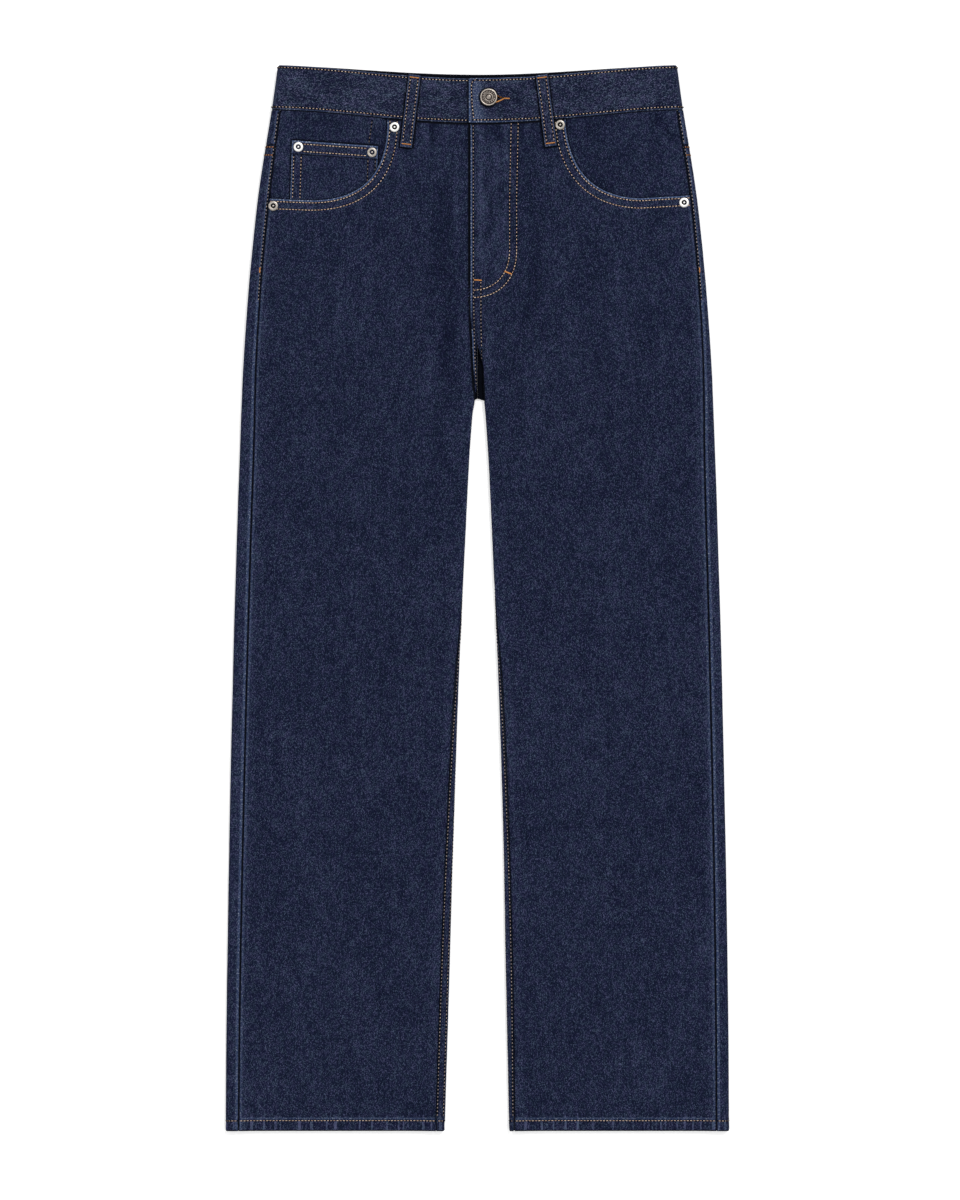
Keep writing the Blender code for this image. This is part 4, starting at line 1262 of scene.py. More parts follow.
# %% What sewing does to a back
def back_relief(side, wrap, drop, top):
    """The same as front_finish, for a back panel or a yoke."""
    x = skin(side, wrap, drop)[..., 0]
    seam = seam_wrap(side, drop) - GAP / 2 - wrap
    inner = wrap - back_end(side, drop) - back_room(side, drop)
    hem = LENGTH - drop
    seed = 40 + side
    plain = 0.5 * unrest(x, drop, seed)
    sewn = roll(seam, 1.5, 0.45) + bulk(seam, 9, 0.25)
    height = plain + (sewn + pucker(drop, seam, 6, 6.0, 0.24, seed + 1))
    felled = smooth(CROTCH, CROTCH + 60, drop)
    height += felled * (bulk(inner, 8.6, 0.3) + pucker(drop, inner, 7, 7.0, 0.2, seed + 3))
    height += roll(inner, 1.5, 0.45) + felled * (groove(inner - 1.9) + groove(inner - 8.0))
    height += roll(hem, 1.8, 0.7) + groove(hem - HEM_ROW, 0.3)
    roped = smooth(0.5, 3, hem) * (1 - smooth(8.5, 11, hem))
    height += 0.4 * waver(x + 0.7 * hem, 5.6, seed + 5) * roped
    height += roll(top, 1.3, 0.35)
    crotch = np.maximum(0, np.abs(x) - 12) + np.maximum(0, 258 - drop) + np.maximum(0, drop - 336)
    # Marks below 0 paint shade in the crotch, in the side seam, along the top and along the hem.
    edges = [
        (crotch, -1.0),
        (seam + 0.3, -0.5 - 0.3 * smooth(280, 420, drop)),
        (np.abs(seam - 1.7) * 0.8 + 0.3, 0.40),
        (inner, 0.1),
        (np.abs(top), -0.4),
        (hem, -0.8),
    ]
    edge, mark = nearest_edge(edges, x.shape)
    # Darker lower down the leg, and paler over raised sewing and darker in its hollows, partly real
    # fading and partly painted light and shade.
    fade = 0.12 - 0.20 * smooth(760, 880, drop) + np.clip(0.8 * (height - plain), -0.4, 0.3)
    return height, edge, mark, fade


def back_piece(name, node, side, rows, sag, top_of):
    """A piece of the back. top_of gives a place's distance from its top edge."""
    wrap, drop = back_rows(side, rows, sag)
    x = skin(side, wrap, drop)[..., 0]
    height, edge, wear, fade = back_relief(side, wrap, drop, top_of(x, wrap, drop))
    points, out = raised(side, wrap, drop, height)
    grain = grain_of(side * (wrap + 120) + 700 * side, drop)
    cloth(name, node, [(points, out, grain, edge, wear, fade)])
    cut_sizes[name] = sized(wrap, drop)


panel_rows = leg_rows(PANEL_TOP, 1.0, 2.2, (4, 12))
high = YOKE_FOOT - YOKE_TOP
yoke_rows = YOKE_TOP + high * fine_at_ends(high, 0.9, 2.4, 5, 5)
for side in (-1, 1):
    where = named(side)
    back_piece(f"back_{where}", f"back_panel_{where}", side, panel_rows, back_sag, below_yoke)
    back_piece(f"yoke_back_{where}", f"yoke_{where}", side, yoke_rows, yoke_sag, in_yoke)

# %% [markdown]
# ## Waistband
#
# The waistband is one long strip folded double. It starts under the fly's lap, goes round the
# back, and ends on top with a square end that the button holds. Its grid runs the same way,
# as one ribbon. A keyhole is cut through the upper end, because a button's post needs one.

# %% Places on the waistband
BAND_ROWS = (2.3, BAND_HEIGHT - 2.8)  # its two rows of stitches, from the top edge
END_ROUND = 3.0  # radius of the upper end's corner
EYE_RADIUS = 3.6
EYE_LENGTH = 15.0
EYE_SLIT = 0.7
BUTTON_PLACE = (11.3, 32.9)
BUTTON_RADIUS = 8.6


def band_wrap(side, station, drop):
    """Wrap of a station: 0 to 1 is the front, to 2 the fold, and to 3 the back."""
    s = section(side, drop)
    straight = s.half - FOLD_REACH
    reach = BAND_LAP_TO if side < 0 else -BAND_OVER_FROM
    front = s.arc + (straight + reach) * (1 - station)
    fold = s.arc * (1 - 2 * (station - 1))
    back = -(s.arc + straight * (station - 2))
    wrap = np.where(station < 1, front, np.where(station < 2, fold, back))
    across = np.where(np.abs(wrap) <= s.arc, s.half, straight - np.abs(wrap) + s.arc)
    return wrap, across


def band_place(side, station, row, height=0.0):
    """Points of the waistband's outer face, this high over it."""
    drop = row
    for _ in range(3):
        wrap, across = band_wrap(side, station, drop)
        drop = row + dip(across, np.where(wrap > 0, FRONT_DIP, BACK_DIP), 0)
    out = outward(side, wrap, drop)
    points = skin(side, wrap, drop)
    if side > 0:
        over = np.where(wrap > 0, 1 - smooth(BAND_LAP_TO + 5, BAND_LAP_TO + 26, points[..., 0]), 0)
        points = points + [0, 0, 1] * (BAND_RAISE * over)[..., None]
    upward = smooth(-0.2, 0.5, out[..., 2])
    height = np.minimum(height, 0) + np.maximum(height, 0) * upward
    return points + out * height[..., None], out, wrap


# %% What wears and shades the waistband


def band_edges(side, station, nominal, row, end, x, by_end):
    """The band's edges. by_end is how near a place is to the upper end."""
    lapped = (side > 0) * (station < 1)
    behind = FAR * (station > 1)
    drop = row + dip(x, FRONT_DIP, 0)
    by_button = np.hypot(x - BUTTON_PLACE[0], drop - BUTTON_PLACE[1]) - BUTTON_RADIUS
    by_lap = bell(x, 8, 30) * lapped
    # Marks below 0 paint shadow under the lapped edge, beside the belt loops and round the button.
    return [
        (nominal, 0.3 + 0.4 * by_lap),
        (BAND_HEIGHT - nominal, 0.7 + 0.3 * by_lap),
        (end * 0.6, 1.0),
        (np.abs(x - BAND_OVER_FROM + 1.0) + FAR * (side > 0) + behind, -0.6),
        (beside_loops(x, drop) * 0.6 + behind, -0.85),
        (np.maximum(by_button, 0) * 0.7 + FAR * (side < 0) + behind, -0.9),
        (1.0 + 0 * x, 0.4 * by_end),
    ]


# %% Waistband
BAND_PAST = 18.0  # how far a front half goes past the middle, about
BAND_FOLD = 13.0  # length of the band round the side fold
BAND_BACK = 196.0  # and from there to the centre back
BAND_UNDER = 50.0  # far enough to keep the end's marks off the lower end
front_length = float(read(SECTIONS, "half_width", WAIST_AT)) + BAND_PAST
stations = [fine_at_ends(front_length, 0.7, 2.0, 10, 5)[:-1]]
stations.append(1 + spaced(BAND_FOLD, lambda s: 1.0 + 0 * s)[:-1])
stations.append(2 + fine_at_ends(BAND_BACK, 1.4, 4.5, 8, 0))
stations = np.concatenate(stations)
rows = BAND_HEIGHT * fine_at_ends(BAND_HEIGHT, 0.65, 2.0, 6, 6)


def band_half(side):
    """One half of the waistband, from its end at the front to the centre back."""
    station, nominal = np.meshgrid(stations, rows, indexing="ij")
    x = band_place(side, station, nominal)[0][..., 0]
    top, bottom = nominal, BAND_HEIGHT - nominal
    end = station * front_length if side > 0 else BAND_UNDER + station * front_length
    corner = END_ROUND - np.sqrt(np.maximum(END_ROUND**2 - np.maximum(END_ROUND - end, 0) ** 2, 0))
    row = nominal + corner * (1 - nominal / BAND_HEIGHT) ** 3
    along = side * station * front_length

    plain = 0.7 * unrest(x * 0.9, row * 1.6, 60 + side)
    height = plain + (roll(top, 2.2, 1.0) + roll(bottom, 2.0, 0.8) + roll(end, 1.8, 0.8))
    height += groove(top - BAND_ROWS[0], 0.25) + groove(row - BAND_ROWS[1], 0.3)
    height += groove(end - 3.0, 0.25)
    tucks = pucker(along, top, 5, 6.0, 0.16, 63 + side)
    height += tucks + pucker(along, bottom, 7, 6.4, 0.24, 65 + side)
    height += pucker(row, end, 7, 8.0, 0.15, 67)
    points, out, _ = band_place(side, station, row, height)

    by_end = bell(x, -1, 6.5) + 0.5 * bell(x, 6, 14) * bell(row, 44, 9)
    by_end = by_end * (side > 0) * (station < 1)
    edges = band_edges(side, station, nominal, row, end, x, by_end)
    edge, wear = nearest_edge(edges, x.shape)
    # The band's back half is painted dark with shade.
    behind = station > 1.9
    edge = np.where(behind, np.minimum(top * 0.3, 0.5), edge)
    wear = np.where(behind, -0.9, wear)
    # Paler over raised sewing and darker in hollows, partly real fading and partly painted light and
    # shade, with mottle, painted shade on the back half and a pale cloud by the upper end.
    fade = np.clip(0.9 * (height - plain), -0.3, 0.4)
    fade += 0.3 * rumple(x * 0.4, row * 1.3, 8, 69) + 0.25 * rumple(x, row, 14, 70) - 0.5 * behind
    fade += 0.3 * by_end
    half = [points, out, grain_of(along + 1500 * side, row, turned=True), edge, wear, fade]
    return [np.flip(part, 0) if side > 0 else part for part in half]


halves = [band_half(side) for side in (-1, 1)]
joined = [np.concatenate([a[:-1], b]) for a, b in zip(*halves)]
band_materials = [band_denim, band_inside_shaded]
waistband = cloth("waistband_cloth", "waistband", [tuple(joined)], BAND_WALL, band_materials)

# %% The buttonhole
HOLE_TURNS = (28, 333, 16)  # degrees round the eye, from and to, and a step
HOLE_HEIGHTS = (7.9, 14.0)  # through the upper end only, and not the one below


def cutter(name, outline, low, high):
    """A closed prism of this outline of places, from one height to another."""
    bm = bmesh.new()
    ring = [bm.verts.new((x * MM, (LENGTH / 2 - drop) * MM, low * MM)) for x, drop in outline]
    face = bm.faces.new(ring)
    lid = bmesh.ops.extrude_face_region(bm, geom=[face])["geom"]
    up = [vert for vert in lid if isinstance(vert, bmesh.types.BMVert)]
    bmesh.ops.translate(bm, verts=up, vec=(0, 0, (high - low) * MM))
    bmesh.ops.recalc_face_normals(bm, faces=bm.faces)
    mesh = bpy.data.meshes.new(name)
    bm.to_mesh(mesh)
    bm.free()
    return bpy.data.objects.new(name, mesh)


def apply_modifiers(obj):
    """Turn what the modifiers make into the object's own mesh."""
    bpy.context.view_layer.update()
    graph = bpy.context.evaluated_depsgraph_get()
    made = bpy.data.meshes.new_from_object(obj.evaluated_get(graph))
    obj.modifiers.clear()
    obj.data = made


x, drop = BUTTON_PLACE
turns = np.radians(np.arange(*HOLE_TURNS))
slot = [(x + EYE_RADIUS * math.cos(a), drop + EYE_RADIUS * math.sin(a)) for a in turns]
slot += [(x + EYE_LENGTH, drop - EYE_SLIT), (x + EYE_LENGTH, drop + EYE_SLIT)]
eye = cutter("buttonhole_cutter", slot, *HOLE_HEIGHTS)
bpy.context.scene.collection.objects.link(eye)
hole = waistband.modifiers.new("buttonhole", "BOOLEAN")
hole.operation = "DIFFERENCE"
hole.object = eye
apply_modifiers(waistband)
bpy.data.objects.remove(eye)

# %% [markdown]
# ## Pocket facings and the coin pocket
#
# A facing is the piece of denim that shows inside a pocket's opening. It meets the waistband
# and the side seam at full height and lies lower under the front's edge. Its top edge comes
# almost to the waistband, so that nothing shows between the two. The coin pocket is sewn to
# the right facing, with a wide hem along its top that is the thickest place on it.

# %% Where the coin pocket lies
COIN_LEAN = math.radians(3.9)
COIN_SKEW = 0.031
COIN_WIDTH = 86.5
COIN_CORNER = (-185.5, 75.1)
COIN_DEPTH = 76.0
COIN_HEM = 13.2
COIN_HEM_ROWS = (3.1, 10.4)
COIN_SIDE_ROWS = (2.4, 9.8)


def coin_place(across, down):
    """x and drop of a place on the coin pocket, from its upper outer corner."""
    x = COIN_CORNER[0] + math.cos(COIN_LEAN) * across - COIN_SKEW * down
    return x, COIN_CORNER[1] + math.sin(COIN_LEAN) * across + down


def beside_coin(side, x, drop):
    """How far a place is outside the coin pocket, less at its open top."""
    from_corner = x - COIN_CORNER[0] + COIN_SKEW * (drop - COIN_CORNER[1])
    across = from_corner / (math.cos(COIN_LEAN) + COIN_SKEW * math.sin(COIN_LEAN))
    down = drop - COIN_CORNER[1] - math.sin(COIN_LEAN) * across
    beyond = np.maximum(np.maximum(-across, across - COIN_WIDTH), 0)
    return np.hypot(beyond, 0.55 * np.maximum(-down, 0)) + FAR * (side > 0)


# %% Pocket facings
FACING_WIDTH = 136.0
FACING_LENGTH = 107.0
FACING_INNER = 74.0
FACING_DROP = 152.0
FACING_TOP = BAND_HEIGHT + GAP / 5
FACING_EASE = 15.0
FACING_STEP = 8.0
COIN_BELOW = WALL + GAP + WALL + GAP
PLAIN_BELOW = WALL + 2 * GAP


def facing_height(side, across, drop):
    """The facing comes up to its seams, and lies down under the front's edge."""
    depth = COIN_BELOW if side < 0 else PLAIN_BELOW
    from_band = drop - BAND_HEIGHT - dip(across, FRONT_DIP, BAND_HEIGHT)
    from_seams = smooth(0, FACING_EASE, seam_across(side, drop) - across)
    from_seams = from_seams * smooth(0, FACING_EASE, from_band)
    under_front = 1 - smooth(0, FACING_STEP, inside_mouth(side, across, drop))
    return read(SECTIONS, "middle", drop) - depth * np.maximum(from_seams, under_front)


def facing_fade_and_shading(side, across, drop, top, seam, risen):
    """How much paler or darker a facing is: painted light on raised places and in a band under the
    waistband, paler by the side seam, and painted shade near the pocket mouths and in a streak on the
    left facing. risen is its height over its plain form.
    """
    fade = np.clip(1.2 * risen, -0.4, 0.4)
    by_coin_end = (side < 0) * bell(drop, 115, 16)
    fade += 0.30 * (1 - smooth(6, 26, seam)) * (1 - 0.9 * by_coin_end)
    fade -= 0.6 * bell(across, 122, 14) * bell(drop, 124, 11) * (side > 0)
    by_band = bell(top, 4.5, 2.6) * (0.6 + 0.8 * waver(across, 6.5, 78 + side))
    fade += (0.45 if side < 0 else 0.2) * by_band
    fade -= 0.65 * bell(across, 98, 9) * bell(drop, 88, 15) * (side < 0)
    if side > 0:
        off, along = (25 * (across - 187.6) - 20 * (drop - 62)) / 32, drop - 62
        fade -= 0.7 * bell(off, 0, 3.5) * bell(along, 0, 16)
    return fade


for side in (-1, 1):
    share = fine_at_ends(FACING_WIDTH, 0.9, 2.2, 0, 12) ** 0.95
    down = fine_at_ends(FACING_LENGTH, 1.2, 2.2, 10, 0)
    share, down = np.meshgrid(share, down)
    drop = nominal = FACING_TOP + (FACING_DROP - FACING_TOP) * down
    for _ in range(3):
        across = FACING_INNER + (seam_across(side, drop) - GAP - FACING_INNER) * share
        drop = nominal + dip(across, FRONT_DIP, BAND_HEIGHT) * (1 - down)
    top = drop - FACING_TOP - dip(across, FRONT_DIP, BAND_HEIGHT)
    seam = seam_across(side, drop) - GAP - across
    form = facing_height(side, across, drop)
    z = form + 0.5 * unrest(side * across, drop, 70 + side)
    z += roll(top, 1.2, 0.3) + roll(seam, 1.3, 0.4)
    z += pucker(across, top, 8, 6.0, 0.22, 73 + side) + pucker(drop, seam, 5, 7.0, 0.15, 75 + side)
    points = laid(side * across, drop, z)
    edge = np.minimum(top, seam)
    # Painted shade along the top under the waistband, along the seam and beside the coin pocket.
    wear = np.where(top < seam, -0.7, -0.8)
    by_coin = beside_coin(side, side * across, drop)
    wear = np.where(by_coin < edge, -0.95, wear)
    edge = np.minimum(edge, by_coin)
    fade = facing_fade_and_shading(side, across, drop, top, seam, z - form)
    grid = (points, normals_of(points, 1), grain_of(side * across + 2600, drop), edge, wear, fade)
    cloth(f"facing_{named(side)}", f"pocket_facing_{named(side)}", [grid])
    cut_sizes[f"facing_{named(side)}"] = sized(across, drop)

# %% Coin pocket
u = COIN_WIDTH * fine_at_ends(COIN_WIDTH, 0.7, 1.8, 10, 10)
v = COIN_DEPTH * spaced(COIN_DEPTH, lambda s: 0.7 + 1.2 * smooth(14, 20, s))
u, v = np.meshgrid(u, v)
x, drop = coin_place(u, v)
sides = np.minimum(u, COIN_WIDTH - u)
base = float(read(SECTIONS, "middle", 100)) - COIN_BELOW + GAP + WALL
z = base + 0.35 * unrest(x, drop, 80) + bulk(v, COIN_HEM - 0.9, 0.75) + bulk(sides, 10, 0.35)
z += roll(v, 1.5, 0.6) + roll(sides, 1.4, 0.55)
z += sum(groove(v - row, 0.22) for row in COIN_HEM_ROWS)
z += sum(groove(sides - row, 0.22) for row in COIN_SIDE_ROWS)
z += 0.1 * waver(u, 4.6, 83) * (1 - smooth(8, 12, v))
hem_step = np.abs(v - COIN_HEM)
edge = np.minimum(np.minimum(v, sides), hem_step + 0.4)
# Edges are worn pale, partly a painted highlight, and painted shade lies below the hem's step.
wear = np.where(v < sides, 0.9, 0.7)
wear = np.where(hem_step + 0.4 <= edge, np.where(v > COIN_HEM, -0.9, 0.25), wear)
points = laid(x, drop, z)
grid = (points, normals_of(points, 1), grain_of(u + 3200, v), edge, wear, 0.1 + 0.2 * (v < COIN_HEM))
coin = cloth("coin_pocket_cloth", "coin_pocket", [grid])

# %% [markdown]
# ## Patch pockets and belt loops
#
# Two patch pockets lie flat on the underside. A belt loop is a strip folded in three, sewn
# along both edges and tacked at both ends, so its middle stands a little away from the band.

# %% Back patch pockets
BACK_POCKET = [(36, 144), (184, 128), (177, 258), (113, 287), (46, 268)]
PATCH_WIDTH = 142.0
PATCH_HEIGHT = 135.0
PATCH_SIDE = 128.0  # height at its sides


def patch_place(u, v):
    """Distance from the middle and drop on a back pocket. u goes across it and v down."""
    a, b, c, d, e = (np.array(corner, float) for corner in BACK_POCKET)
    top = a + (b - a) * u[..., None]
    first, second = e + (d - e) * 2 * u[..., None], d + (c - d) * (2 * u[..., None] - 1)
    foot = np.where(u[..., None] < 0.5, first, second)
    return np.moveaxis(top + (foot - top) * v[..., None], -1, 0)


for side in (-1, 1):
    u = fine_at_ends(PATCH_WIDTH, 0.9, 3.4, 10, 10)
    v = fine_at_ends(PATCH_HEIGHT, 0.9, 3.4, 18, 10)
    u, v = np.meshgrid(u, v)
    across, drop = patch_place(u, v)
    sides = np.minimum(u, 1 - u) * PATCH_WIDTH
    edge = np.minimum(np.minimum(v * PATCH_SIDE, (1 - v) * PATCH_SIDE), sides)
    z = -roll(edge, 1.6, 0.6) - groove(edge - 2.2) - groove(edge - 8.6)
    points = laid(side * across, drop, z)
    grid = (points, normals_of(points, -1), grain_of(across + 3700, drop), edge, 0.4, 0.0)
    cloth(f"patch_pocket_{named(side)}", f"back_pocket_{named(side)}", [grid], TRIM_WALL)
    cut_sizes[f"patch_pocket_{named(side)}"] = sized(across, drop)

# %% Belt loops
for number, loop in enumerate(LOOPS):
    length = loop_run(loop)[2]
    off = LOOP_WIDTH * (spaced(LOOP_WIDTH, lambda s: 0.75 + 0 * s) - 0.5)
    down = fine_at_ends(length, 0.8, 1.6, 6, 6)
    off, down = np.meshgrid(off, down)
    off = off * (1 + 0.02 * waver(down * length, 7, 90 + number))
    x, drop = loop_place(loop, off, down)
    sides = LOOP_WIDTH / 2 - np.abs(off)
    ends = np.minimum(down, 1 - down) * length
    relief = roll(sides, 1.3, 0.5) + roll(ends, 1.2, 0.4) + groove(np.abs(off) - LOOP_ROWS, 0.2)
    relief += groove(ends - 2.4, 0.35)
    if loop.on_front:
        z = read(SECTIONS, "middle", drop) + GAP + TRIM_WALL
        z = z + LOOP_ARCH * np.sin(math.pi * down) ** 2 + relief
        z += 0.14 * waver(down * length, 6, 95 + number)
    else:
        z = -relief
    points = laid(x, drop, z)
    edge, wear = np.minimum(sides, ends), np.where(sides < ends, 0.25, 0.4)
    up = 1 if loop.on_front else -1
    grain = grain_of(off + 4100 + 40 * number, drop)
    grid = (points, normals_of(points, up), grain, edge, wear, 0.1)
    cloth(f"{loop.name}_cloth", loop.name, [grid], TRIM_WALL, [band_denim, inside_denim])

# %% [markdown]
# ## Stitches
#
# Topstitching on jeans is a thick tan thread, about three stitches to the centimetre. Each
# stitch goes down into the cloth at both ends and stands proud between, which is why a row
# looks like a line of beads. On level rows and curves the stitches are longer and nearly meet.
# So a row is a line over a piece, cut into steps, and each step is dropped on to the cloth at
# its two ends and its middle to find where the thread lies. A small dark patch between two
# stitches is painted shade for the needle's hole and its dent, too fine for the cloth's own
# points.

# %% A row of stitches
PITCH = 3.6
SHORT_PITCH = 3.2
THREAD = 0.32  # radius
STITCH_SHARE = 0.46  # how much of a step is thread over the cloth
LONG_SHARE = 0.80  # the same on the rows where the stitches nearly meet
LONG = (LONG_SHARE, SHORT_PITCH)
# The dark patch at a needle's hole is painted shade of its dent.
HOLE = (1.10, 0.84)  # half length and half width of a needle's dark hole
LONG_HOLE = 0.4  # off its half length between long stitches
HOLE_LIFT = 0.2
THIN = 0.82  # how thick a stitch is at its ends, against its middle
RING = [(0.0, -0.8), (0.27, 0.4), (0.73, 0.4), (1.0, -0.8)]
AROUND = 5
HOLE_SIDES = 6
Row = namedtuple("Row", "piece over towards")


def from_above(piece, places, up=1):
    """A row over a piece, from its x and drop, seen from above or from below."""
    x, drop = np.array(places, float).T
    over = laid(x, drop, np.full(len(x), 30.0 * up))
    return Row(piece, over, np.tile([0.0, 0.0, -float(up)], (len(x), 1)))


def from_skin(piece, side, wrap, drop):
    """A row over a piece, from its wraps and drops."""
    out = outward(side, wrap, drop)
    return Row(piece, skin(side, wrap, drop) + 4 * out, -out)


tree_of = {}


def tree(piece):
    """What a needle meets: the piece's own surface, ready for quick rays."""
    if piece not in tree_of:
        bpy.context.view_layer.update()
        graph = bpy.context.evaluated_depsgraph_get()
        tree_of[piece] = BVHTree.FromObject(bpy.data.objects[piece], graph)
    return tree_of[piece]


RAY = 0.06  # metres that a ray looks ahead


def drop_on(piece, over, towards):
    """Where rays meet the piece, and the way out there, or NaN where they miss."""
    spots = np.full(over.shape, np.nan)
    outs = np.full(over.shape, np.nan)
    for k, (start, way) in enumerate(zip(over * MM, towards)):
        place = tree(piece).ray_cast(Vector(start), Vector(way), RAY)[0]
        if place is not None:
            spots[k] = np.array(place) / MM
            outs[k] = -way
    return spots, outs


def thread_over(piece, lines):
    """Where stitches start, bend and end on a piece, and the ways out there."""
    found = [drop_on(piece, over, towards) for over, towards in lines]
    return np.stack([spots for spots, _ in found], axis=1), found[1][1]


def stitches_in(row, share=STITCH_SHARE, pitch=PITCH):
    """The stitches of a row, evenly along it."""
    marks = lengths(row.over)
    count = max(1, round(marks[-1] / pitch))
    step = marks[-1] / count
    middle = (np.arange(count) + 0.5) * step
    ends = (middle - step * share / 2, middle, middle + step * share / 2)
    lines = [[between(values, marks, at) for values in (row.over, row.towards)] for at in ends]
    return thread_over(row.piece, lines)


def tack(piece, start, end, width=1.9, pitch=0.55, up=1):
    """A bar tack: short threads packed side by side across a line."""
    start, end = np.array(start, float), np.array(end, float)
    run = end - start
    length = math.hypot(*run)
    count = max(2, round(length / pitch))
    middle = start + run * ((np.arange(count) + 0.5) / count)[:, None]
    cross = np.array([-run[1], run[0]]) / length * width / 2
    slant = run / length * pitch * 0.4
    sets = (middle - cross - slant, middle, middle + cross + slant)
    return thread_over(piece, [from_above(piece, places, up)[1:] for places in sets])


def thread_mesh(name, groups, material, radius=THREAD, lie=1.0, share=STITCH_SHARE):
    """All the stitches of some groups as one mesh of small bent tubes."""
    spots = np.concatenate([group[0] for group in groups])
    out = np.concatenate([group[1] for group in groups])
    good = ~np.isnan(spots).any(axis=(1, 2)) & ~np.isnan(out).any(axis=1)
    spots, out = spots[good], out[good]
    hole = PITCH * (1 - share)
    way = spots[:, 2] - spots[:, 0]
    way /= np.linalg.norm(way, axis=1, keepdims=True)
    side = np.cross(way, out)
    side /= np.linalg.norm(side, axis=1, keepdims=True)
    up = np.cross(side, way)
    rings = []
    for t, rise in RING:
        a, b, c = 2 * (t - 0.5) * (t - 1), 4 * t * (1 - t), 2 * t * (t - 0.5)
        centre = a * spots[:, 0] + b * spots[:, 1] + c * spots[:, 2] + out * rise * radius * lie
        for k in range(AROUND):
            turn = 2 * math.pi * (k + 0.25) / AROUND
            thick = radius * (THIN if t in (0.0, 1.0) else 1.0)
            rings.append(centre + thick * (math.cos(turn) * side + math.sin(turn) * up))
    # A flat dark patch before each stitch: painted shade at the needle's hole.
    hole_at = spots[:, 0] - way * hole * 0.5 + out * HOLE_LIFT
    half_length = HOLE[0] - LONG_HOLE * (share >= LONG_SHARE)
    for k in range(HOLE_SIDES):
        turn = 2 * math.pi * k / HOLE_SIDES
        long, wide = half_length * math.cos(turn), HOLE[1] * math.sin(turn)
        rings.append(hole_at + long * way + wide * side)
    tube, per = len(RING) * AROUND, len(RING) * AROUND + HOLE_SIDES
    count = len(spots)
    points = np.stack(rings, axis=1).reshape(-1, 3)
    quads = []
    for ring in range(len(RING) - 1):
        for k in range(AROUND):
            a, b = ring * AROUND + k, ring * AROUND + (k + 1) % AROUND
            quads.append([a, b, b + AROUND, a + AROUND])
    first = np.arange(count)[:, None, None] * per
    faces = (np.array(quads)[None] + first).reshape(-1, 4).tolist()
    caps = np.array([list(range(AROUND))[::-1], list(range(tube - AROUND, tube))])
    faces += (caps[None] + first).reshape(-1, AROUND).tolist()
    if hole:
        faces += (np.arange(tube, per)[None] + first[:, 0]).tolist()
    mesh = bpy.data.meshes.new(name)
    mesh.from_pydata(points * MM, [], faces)
    dark = np.zeros(len(faces), int)
    dark[len(faces) - count * bool(hole):] = 1
    mesh.polygons.foreach_set("material_index", dark)
    rng = np.random.default_rng(len(spots))
    put(mesh, "tone", "FLOAT", np.repeat(rng.uniform(0, 1, count), per))
    along = np.repeat([t for t, _ in RING], AROUND).tolist() + [0.0] * HOLE_SIDES
    along = np.tile(along, count) * PITCH
    grain = np.stack([np.tile(np.arange(per) % AROUND, count), along, 0 * along], axis=1)
    put(mesh, "cloth", "FLOAT_VECTOR", grain * MM)
    obj = place_mesh(name, mesh, [material, needle_hole], smooth_above=70)
    print(name, count, "stitches,", sum(len(face) - 2 for face in faces), "triangles")
    return obj


# %% Thread
def thread_material(name, dark, light):
    """Tan thread whose stitches differ a little, with the twist of its strands."""
    r = Recipe(name, roughness=0.55, specular=0.3)
    tone = r.kept("tone")
    strands = r.noise(r.kept("cloth", "Vector"), (0.0012, 0.0005), math.radians(35), detail=1.0)
    tone = r.total(-0.25, [(tone, 0.75), (strands, 0.7)])
    r.feed(r.shader.inputs["Base Color"], r.ramp(tone, [(0.0, dark), (1.0, light)]))
    r.bump(strands, 0.0002, 0.5)
    return r.material


tan_thread = thread_material("thread_tan", srgb(172, 136, 112), srgb(244, 218, 192))
rust_thread = thread_material("thread_rust", srgb(164, 100, 44), srgb(222, 156, 86))
pale_thread = thread_material("thread_pale", srgb(112, 100, 98), srgb(190, 172, 156))
# A darker copy of the tan thread: painted shade for rows that lie deep, in the crotch and beside the
# coin pocket.
shaded_thread = thread_material("thread_dim", srgb(74, 66, 68), srgb(150, 130, 116))
# Painted shade for the needle holes: near black, where the dent lies in shadow.
shade = Recipe("needle_hole", roughness=0.9, specular=0.02)
hole_grain = shade.noise(shade.kept("cloth", "Vector"), (0.0008, 0.0008))
hole_shade_colour = shade.ramp(hole_grain, [(0.3, srgb(4, 5, 9)), (0.7, srgb(14, 16, 26))])
shade.feed(shade.shader.inputs["Base Color"], hole_shade_colour)
needle_hole = shade.material

# %% [markdown]
# ## Sewing the garment
#
# The rows follow the pieces: along the waistband, round the fly's curve, beside each pocket
# mouth, down the seams and along the hems. Rows on hidden sides are sewn too, since a real
# pair has them there. Rows that belong together are joined into one mesh.

# %% Rows on the waistband and the fly


def band_row(side, row, first, last):
    """A row along the waistband, from one station to another."""
    station = np.linspace(first, last, 160)
    points, out, _ = band_place(side, station, row + 0 * station)
    return Row("waistband_cloth", points + 4 * out, -out)


band_groups, band_back_groups = [], []
for row in BAND_ROWS:
    straight = float(read(SECTIONS, "half_width", 30)) - FOLD_REACH
    start = 1 - (straight + BAND_OVER_FROM - 0.6) / (straight + BAND_LAP_TO)
    for side, first in ((-1, start), (1, 0.045 if row < 9 else 0.02)):
        band_groups.append(stitches_in(band_row(side, row, max(first, 0.0), 1.5), pitch=3.4))
        band_back_groups.append(stitches_in(band_row(side, row, 1.5, 2.995)))
band_end = [(-0.7, 14.9), (-3.0, 15.6), (-5.0, 17.4), (-6.0, 21), (-5.8, 30), (-5.2, 40), (-3.7, 54)]
band_groups.append(stitches_in(from_above("waistband_cloth", band_end)))

